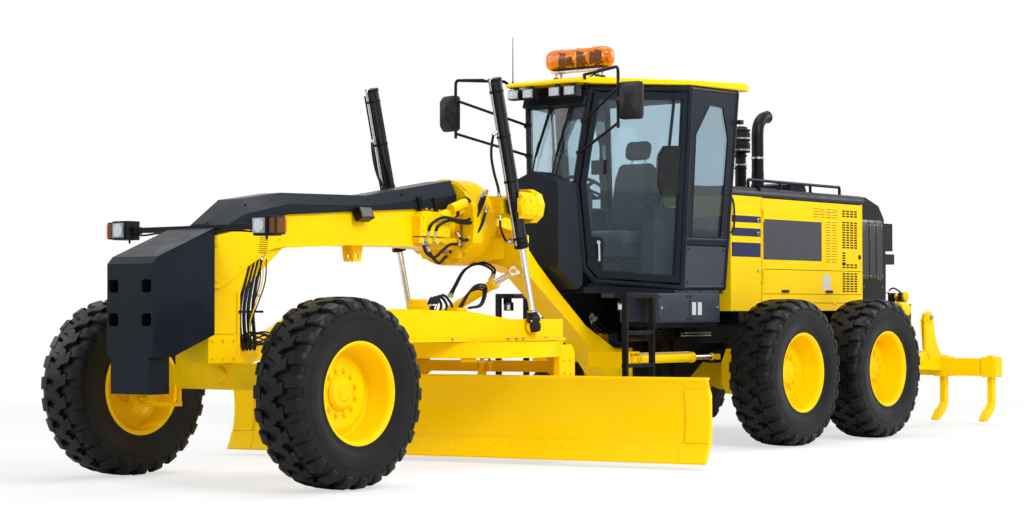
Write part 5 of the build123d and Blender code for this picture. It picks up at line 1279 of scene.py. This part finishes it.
def make_hood_details():
    """Stripes, seams, screws and the doors' grids and louvres, with x measured out from the hood's side."""
    for side, sign in SIDES.items():
        flip = side_turn(sign) @ placed((HOOD_X, 0, 0))
        fixed = Piece(f"hood_stripes_{side}", "rear_frame", "navy")
        fixed.turn = flip
        for z0, z1 in ((1976, 2036), (1852, 1926), (1668, 1796)):
            fixed.box((-1, 1.2), (5592, 6078), (z0, z1))
        for z in (2000, 1880):
            fixed.lathe([(0, 20), (8, 19), (9, 12), (12, 11)], (0, 6035, z), OUT, "steel", 20)
            fixed.box((6, 15), (6026, 6044), (z - 7, z + 7), "plastic")
        fixed.lathe([(0, 15), (9, 14), (10, 8)], (0, 6030, 1545), OUT, "steel", 16)
        fixed.box((-1, 0.8), (6086, 6091), (1186, 2212), "dark")
        fixed.box((-1, 0.8), (6091, 7948), (1254, 1259), "dark")
        for y in (6400, 7400):
            fixed.box((0, 8), (y - 30, y + 30), (1246, 1270), "yellow")
        for row in range(2):
            for col in range(4):
                y = 7560 + col * 76
                fixed.box((-1, 1), (y, y + 54), (1196 + row * 26, 1210 + row * 26), "dark")
        for y in (5640, 5960, 6300, 6700, 7100, 7500, 7880):
            fixed.bolts([(0, y, 1205)], OUT, 7, "yellow")
        fixed.hose([(8, 5590, 2190), (22, 5600, 2120), (24, 5602, 1980), (16, 5596, 1900), (4, 5570, 1880)], 9,
            sides=8, steps=5)
        fixed.done(0.6, 1)

        door = Piece(f"engine_door_details_{side}", f"engine_door_{side}", "decal")
        door.turn = flip
        door.box((-1, 1.2), (6124, 7168), (1650, 2018))
        door.box((-1, 0.8), (6118, 7922), (1560, 1565), "dark")
        grids = [(7560, 4, 2082, 3), (7560, 4, 1782, 11), (7560, 1, 1632, 5), (7560, 4, 1592, 2), (7560, 4, 1362, 8)]
        for y0, cols, z0, rows in grids:
            height = rows * 24
            door.box((-1, 0.7), (y0 - 8, y0 + cols * 76 - 12), (z0 - 6, z0 + height - 2), "yellow")
            for row in range(rows):
                for col in range(cols):
                    y, z = y0 + col * 76, z0 + row * 24
                    door.box((-1, 1.5), (y, y + 56), (z, z + 14), "dark")
        for z0, rows, cols, y0 in ((2070, 4, 4, 7020), (1650, 16, 2, 7250)):
            for row in range(rows):
                for col in range(cols):
                    y, z = y0 + col * 118, z0 + row * 25
                    door.prism([(-1, z + 14), (7, z + 2), (7, z), (-1, z - 1)], "y", (y, y + 88), "yellow")
                    door.box((-1, 5), (y + 3, y + 85), (z - 3, z - 0.5), "dark")
        door.box((0, 12), (6440, 6560), (1352, 1376), "plastic")
        door.box((0, 12), (7240, 7360), (1352, 1376), "plastic")
        door.lathe([(0, 24), (5, 24), (6, 17), (9, 16)], (0, 7890, 1700), OUT, "plastic", 20)
        door.box((0, 1.5), (7790, 7900), (1604, 1690), "yellow")
        door.box((0, 1), (7190, 7330), (1380, 1520), "label")
        door.done(0, 1)


EXHAUST, INTAKE = (250, 6600), (-50, 6780)


def make_hood_top_details():
    """Rails, caps and bolts on the hood's top, and the exhaust and intake stacks."""
    piece = Piece("hood_top_details", "rear_frame", "black")
    piece.box((-594, 594), (6084, 6092), (2216, 2304), "dark")
    piece.box((150, 350), (6450, 6760), (2298, 2330))
    piece.prism([(6900, 2298), (6900, 2370), (6960, 2390), (7160, 2390), (7210, 2298)], "x", (120, 420), "slate")
    piece.lathe([(0, 70), (14, 70), (18, 60), (34, 60)], (-250, 7150, 2300), UP, sides=32)
    piece.lathe([(0, 44), (20, 42), (24, 30)], (300, 7500, 2298), UP, sides=24)

    def side(part):
        for y in (6050, 6600, 7150, 7700):
            part.lathe([(0, 26), (6, 26), (8, 18)], (490, y, 2299), UP, sides=14)
        part.bolts([(570, y, 2262) for y in range(5640, 8000, 300)], (1, 0, 0.8), 7, "black")
        part.hose([(490, 6050, 2300), (490, 6046, 2350), (490, 6060, 2374), (490, 6100, 2377)], 14.5, "black", 12, 5)
        part.hose([(490, 7700, 2300), (490, 7704, 2350), (490, 7690, 2374), (490, 7650, 2377)], 14.5, "black", 12, 5)
    piece.both(side)
    piece.done(4, 2)
    stacks = Piece("exhaust_and_intake", "rear_frame", "black")
    stacks.lathe([(0, 66), (60, 66), (64, 58), (180, 58)], (*EXHAUST, 2300), UP, sides=36)
    bend = ((6600, 2470), (6600, 2700), (6600, 2840), (6625, 2930), (6690, 2985), (6770, 3005))
    stacks.hose([(250, y, z) for y, z in bend], 56, "black", 28, 8)
    stacks.lathe([(0, 56), (4, 60), (10, 60), (12, 52)], (250, 6764, 3004), (0, 1, 0.15), sides=28)
    stacks.lathe([(0, 60), (20, 60)], (*EXHAUST, 2600), UP, "steel", 28)
    stacks.lathe([(0, 60), (12, 62), (20, 52), (110, 50), (120, 62), (132, 62), (140, 50), (150, 50), (156, 92),
        (240, 92), (246, 84), (262, 84), (268, 92), (340, 92), (346, 84), (356, 84), (362, 96), (372, 96), (380, 70),
        (400, 60), (410, 0)], (*INTAKE, 2530), UP, "plastic", 32)
    stacks.lathe([(0, 54), (240, 54)], (*INTAKE, 2299), UP, sides=28)
    for z in (2560, 2700, 2810):
        radius = 95 if z > 2650 else 64
        stacks.lathe([(0, radius), (16, radius)], (*INTAKE, z), UP, "steel", 32)
    stacks.done(2, 1, 34, ("hood_stacks",))


def make_guard():
    """The black housing behind the hood: ribbed sides, sloped top, grille, lamps and the rear boxes."""
    piece = Piece("radiator_guard_shape", "rear_frame", "black")
    for span in ((540, 570), (-570, -540)):
        piece.prism([(7951, 1125), (7951, 2285), (8060, 2292), (8330, 2215), (8440, 2090), (8478, 1700),
            (8470, 1125)], "x", span)
    piece.prism([(7951, 2250), (7951, 2287), (8060, 2294), (8330, 2217), (8440, 2092), (8415, 2070), (8312, 2180),
        (8058, 2252)], "x", (-541, 541), "slate")
    piece.box((-541, 541), (7951, 7975), (1125, 2252))
    for i in range(27):
        x = -520 + i * 40
        piece.box((x - 5, x + 5), (8402, 8440), (1180, 2040))
    for z in (1180, 1460, 1740, 2030):
        piece.box((-541, 541), (8396, 8446), (z - 16, z + 16))
    piece.box((-541, 541), (8380, 8470), (1125, 1180))
    piece.box((-520, 520), (8300, 8330), (1180, 2120), "dark")
    for i in range(60):
        piece.box((-515 + i * 17.4, -512 + i * 17.4), (8329, 8336), (1190, 2110), "steel")

    def side(part):
        for y in (8045, 8185, 8325):
            part.prism([(566, 1480), (584, 1500), (584, 2040), (566, 2080)], "y", (y - 62, y + 62), "gloss_black")
            part.bolts([(584, y + s * 46, z) for s in (-1, 1) for z in (1520, 2020)], OUT, 6)
        part.box((566, 580), (7990, 8400), (1180, 1440))
        part.bolts([(580, y, z) for y in (8010, 8380) for z in (1200, 1420)], OUT, 6)
        part.box((402, 558), (8470, 8640), (1774, 2048))
        part.box((410, 550), (8640, 8649), (1784, 2038), "plastic")
        for z in (1830, 1910, 1990):
            part.box((556, 560), (8500, 8620), (z - 4, z + 4), "plastic")
        part.box((472, 558), (8470, 8676), (1642, 1744), "plastic")
        part.box((478, 552), (8676, 8684), (1648, 1692), "red")
        part.box((478, 552), (8676, 8684), (1696, 1740), "amber")
        part.box((200, 300), (8440, 8500), (1990, 2080), "plastic")
        part.box((208, 292), (8498, 8504), (1998, 2072), "clear")
        part.box((210, 290), (8494, 8499), (2000, 2070), "chrome")
    piece.both(side)
    piece.done(6, 2, 30, ("radiator_guard",))


def make_under_cab():
    """What shows below the cab: step frames, hoses, pump, lines, lamp and the boxes' doors."""
    piece = Piece("steps_and_boxes", "rear_frame", "black")

    def side(part):
        for z in (450, 720, 990):
            for i in range(3):
                part.box((638 + i * 18, 646 + i * 18), (3870, 4246), (z + 29, z + 33))
        part.box((611, 617), (4420, 4880), (1100, 1325), "grey")
        part.box((611, 617), (4900, 5365), (1100, 1325), "grey")
        part.lathe([(0, 16), (9, 15), (10, 9)], (617, 4460, 1210), OUT, "steel", 14)
        part.lathe([(0, 16), (9, 15), (10, 9)], (617, 5320, 1210), OUT, "steel", 14)
        part.bolts([(617, y, z) for y in (4440, 4860, 4920, 5345) for z in (1115, 1310)], OUT, 6, "black")
        part.box((617, 618.5), (4930, 4990), (1150, 1260), "label")
        part.box((617, 618.5), (5020, 5080), (1150, 1260), "label")
        part.box((560, 640), (3905, 3940), (1190, 1262), "plastic")
        part.box((566, 634), (3898, 3906), (1196, 1256), "clear")
        part.box((568, 632), (3902, 3908), (1198, 1254), "chrome")
        part.box((572, 640), (3900, 3930), (1240, 1296))
        part.box((352, 400), (4240, 4300), (1130, 1296))
        part.box((380, 600), (4380, 5360), (1040, 1086))
    piece.both(side)
    piece.done(4, 2)
    skirt = Piece("cab_skirt", "rear_frame", "grey")
    for sign in (1, -1):
        skirt.turn = side_turn(sign)
        skirt.rings([[(372, 4210, z), (606, 4800, z), (606, 5360, z), (594, 5360, z), (594, 4806, z), (361, 4216, z)]
            for z in (1092, 1384)])
        skirt.bolts([(606, y, 1352) for y in (4860, 5080, 5300)], OUT, 6, "black")
        skirt.bolts([(372 + 234 * t, 4210 + 590 * t, z) for t in (0.15, 0.5, 0.85) for z in (1130, 1350)],
            (0.93, -0.37, 0), 6, "black")
    skirt.done(3, 2)
    lines = Piece("frame_hoses", "rear_frame", "rubber")
    random.seed(4)
    for side in SIDES.values():
        for i in range(7):
            x, z = side * (250 + 24 * (i % 4)), 1150 + 22 * (i // 4) - 20 * (i % 3)
            run = [(x, 5180, z), (x + side * 10, 5000, z - 40), (x - side * 20, 4860 + i * 12, z - 110 - i * 8),
                (x - side * 40, 4700, z - 60), (x - side * (90 + i * 6), 4560, z - 10)]
            lines.hose([Vector(p) + Vector([random.uniform(-9, 9) for _ in range(3)]) for p in run], 12, sides=8,
                steps=6, fitting="steel")
    lines.bar((330, 4380, 990), (560, 4380, 990), 60, "black", 24)
    lines.box((250, 420), (4420, 4700), (1050, 1180), "black")
    lines.bar((200, 5200, 880), (200, 5600, 880), 36, "black", 20)
    for z in (905, 930):
        lines.bar((330, 5180, z + 60), (330, 5660, z + 60), 9, "steel", 10)
    lines.done(2, 1)


def make_ripper_details():
    """The ripper's tips, pins and plates, and its mount on the rear frame."""
    piece = Piece("ripper_details", "ripper", "yellow")
    for x in (-1068, -534, 0, 534, 1068):
        tip = [(9553, 54), (9550, 68), (9628, 152), (9650, 168), (9690, 128), (9624, 54)]
        piece.prism(tip, "x", (x - 34, x + 34), "yellow_cast")
        piece.bar((x - 70, 9781, 600), (x + 70, 9781, 600), 16, "steel", 16)
        for s in (-66, 66):
            piece.lathe([(0, 26), (6, 26)], (x + s, 9781, 600), (1 if s > 0 else -1, 0, 0), "yellow_cast", 18)

    def side(part):
        part.lathe([(-30, 56), (-26, 60), (26, 60), (30, 56)], (540, 9010, 640), OUT, "yellow_cast", 32)
        part.lathe([(0, 34), (10, 34)], (570, 9010, 640), OUT, "steel", 24)
        part.lathe([(0, 44), (14, 44), (16, 30)], (564, 9400, 740), OUT, "yellow_cast", 28)
        part.bolts([(565, y, z) for y, z in ((9200, 700), (9250, 640), (9640, 690))], OUT, 10, "yellow_cast")
        part.lathe([(-26, 50), (-24, 54), (24, 54), (26, 50)], (540, 9426, 1112), OUT, "yellow_cast", 32)
        part.lathe([(-48, 24), (48, 24)], (540, 9426, 1112), OUT, "steel", 20)
        part.lathe([(-8, 46), (8, 46)], (494, 9426, 1112), OUT, "yellow_cast", 28)
        part.bar((494, 9426, 1112), (520, 9426, 1112), 24, "steel", 20)
        part.prism([(9350, 1090), (9426, 1160), (9500, 1090), (9560, 860), (9700, 700), (9400, 760)], "x", (488, 500))
    piece.both(side)
    piece.done(4, 2)
    plate = Piece("rear_plate_details", "rear_frame", "yellow")

    def mount(part):
        part.prism([(-600, 545), (-600, 1245), (-330, 1250), (-330, 545)], "y", (8939, 8948))
        part.lathe([(0, 52), (20, 52), (24, 40), (30, 36), (30, 0)], (508, 8980, 1320), OUT, "yellow_cast", 32)
        part.lathe([(0, 50), (10, 50)], (602, 9010, 640), OUT, "yellow_cast", 28)
        part.bolts([(x, 8948, z) for x in (-570, -360) for z in (600, 760, 1040, 1200)], BACK, 14, "yellow_cast")
        part.bar((560, 8700, 1190), (560, 8870, 1190), 80, sides=32)
    plate.both(mount)
    plate.done(3, 2)


make_hood_details()
make_hood_top_details()
make_guard()
make_under_cab()
make_ripper_details()


# Seat ------------------------------------------------------------------------------------------------

def seat_rings(sections):
    """Rounded rectangle rings from (centre, half width, half depth, corner radius, tilt) sections."""
    rings = []
    for centre, half_x, half_y, corner, across in sections:
        ring = []
        for cx, cy, start in ((1, 1, 0), (-1, 1, 90), (-1, -1, 180), (1, -1, 270)):
            for step in range(6):
                a = radians(start + step * 18)
                u = cx * (half_x - corner) + corner * cos(a)
                v = cy * (half_y - corner) + corner * sin(a)
                ring.append(Vector(centre) + Vector((u, 0, 0)) + Vector(across) * v)
        rings.append(ring)
    return rings


def apply_modifiers(obj):
    """The object's modified mesh becomes its own."""
    graph = bpy.context.evaluated_depsgraph_get()
    data = bpy.data.meshes.new_from_object(obj.evaluated_get(graph))
    obj.modifiers.clear()
    obj.data = data


PUFF = 0.012
CLOTH_FRAMES = 20


def stuffed(piece_name, sections, replaces=()):
    """A padded piece: a closed skin puffed by a short cloth run and smoothed."""
    piece = Piece(piece_name, "rear_frame", "cloth")
    piece.rings(seat_rings(sections))
    made = piece.done(0, 1, 60, replaces)
    remesh = made.modifiers.new("even", "REMESH")
    remesh.mode, remesh.voxel_size = "VOXEL", 0.009
    apply_modifiers(made)
    cloth = made.modifiers.new("stuffing", "CLOTH")
    cloth.settings.use_pressure = True
    cloth.settings.uniform_pressure_force = 4
    cloth.settings.effector_weights.gravity = 0
    cloth.point_cache.frame_start, cloth.point_cache.frame_end = 1, CLOTH_FRAMES
    before = [v.co.copy() for v in made.data.vertices]
    for frame_number in range(1, CLOTH_FRAMES + 1):
        bpy.context.scene.frame_set(frame_number)
    swollen = made.evaluated_get(bpy.context.evaluated_depsgraph_get()).to_mesh()
    after = [v.co.copy() for v in swollen.vertices]
    made.modifiers.remove(cloth)
    bpy.context.scene.frame_set(1)
    for vertex, old, new in zip(made.data.vertices, before, after):
        shift = new - old
        if shift.length > PUFF:
            shift.length = PUFF
        vertex.co = old + shift
    smooth = made.modifiers.new("smooth", "SMOOTH")
    smooth.iterations = 4
    made.modifiers.new("fine", "SUBSURF").levels = 1
    apply_modifiers(made)
    for polygon in made.data.polygons:
        polygon.use_smooth = True
    return made


def make_seat():
    """The seat's cushions, its base and back, arm rests, and the belt."""
    flat = (0, 1, 0)
    cushion = []
    for z, grow in ((1772, -26), (1790, -10), (1826, 0), (1856, -10), (1868, -34)):
        cushion.append(((0, 4650, z), 236 + grow, 236 + grow, 70, flat))
    stuffed("seat_cushion", cushion, replaces=("operator_seat",))
    lean = Vector((0, 0.95, -0.16)).normalized()
    back = []
    for z, half, deep in ((1900, 190, 34), (1930, 222, 48), (2150, 232, 52), (2350, 226, 48), (2460, 196, 44),
                          (2490, 160, 30)):
        back.append(((0, 4905 + (z - 1880) * 0.155, z), half, deep, min(deep, 46) - 2, lean))
    stuffed("seat_back", back)
    head = []
    for z, half, deep in ((2518, 96, 26), (2540, 124, 40), (2610, 132, 42), (2660, 122, 38), (2682, 92, 24)):
        head.append(((0, 4996 + (z - 2500) * 0.2, z), half, deep, deep - 3, lean))
    stuffed("head_rest", head)
    piece = Piece("seat_frame", "rear_frame", "interior")
    piece.box((-190, 190), (4480, 4860), (1388, 1420))
    piece.prism([(4500, 1420), (4840, 1420), (4800, 1640), (4540, 1640)], "x", (-150, 150), "rubber")
    for z in (1460, 1500, 1540, 1580, 1620):
        piece.box((-162, 162), (4500, 4840), (z - 6, z + 6), "rubber")
    piece.box((-220, 220), (4440, 4870), (1650, 1745))
    piece.prism([(4860, 1700), (4900, 1700), (4985, 1900), (5030, 2440), (5060, 2440), (5066, 2300), (4990, 1740)],
        "x", (-215, 215))
    piece.prism([(4425, 1748), (4425, 1765), (4870, 1765), (4870, 1748)], "x", (-232, 232))

    def side(part):
        part.bar((70, 5008, 2440), (70, 5022, 2540), 8, "steel", 12)
        part.hose([(236, 4900, 1900), (262, 4900, 1980), (276, 4890, 2030)], 18, "interior", 12, 5)
        arm_rest = ((2040, 34, 188, 30), (2052, 40, 192, 34), (2076, 40, 192, 34), (2090, 30, 184, 28))
        part.rings(seat_rings([((292, 4742, z), *sizes, flat) for z, *sizes in arm_rest]))
        part.box((236, 262), (4800, 4850), (1700, 1860), "plastic")
        part.box((236, 264), (4806, 4844), (1860, 1880), "red")
    piece.both(side)
    piece.hose([(232, 4950, 1880), (236, 4990, 2080), (228, 5010, 2300), (222, 5030, 2440)], 20, "plastic", 8, 6)
    piece.done(5, 2)


make_seat()


bpy.context.scene.view_settings.view_transform = "Standard"
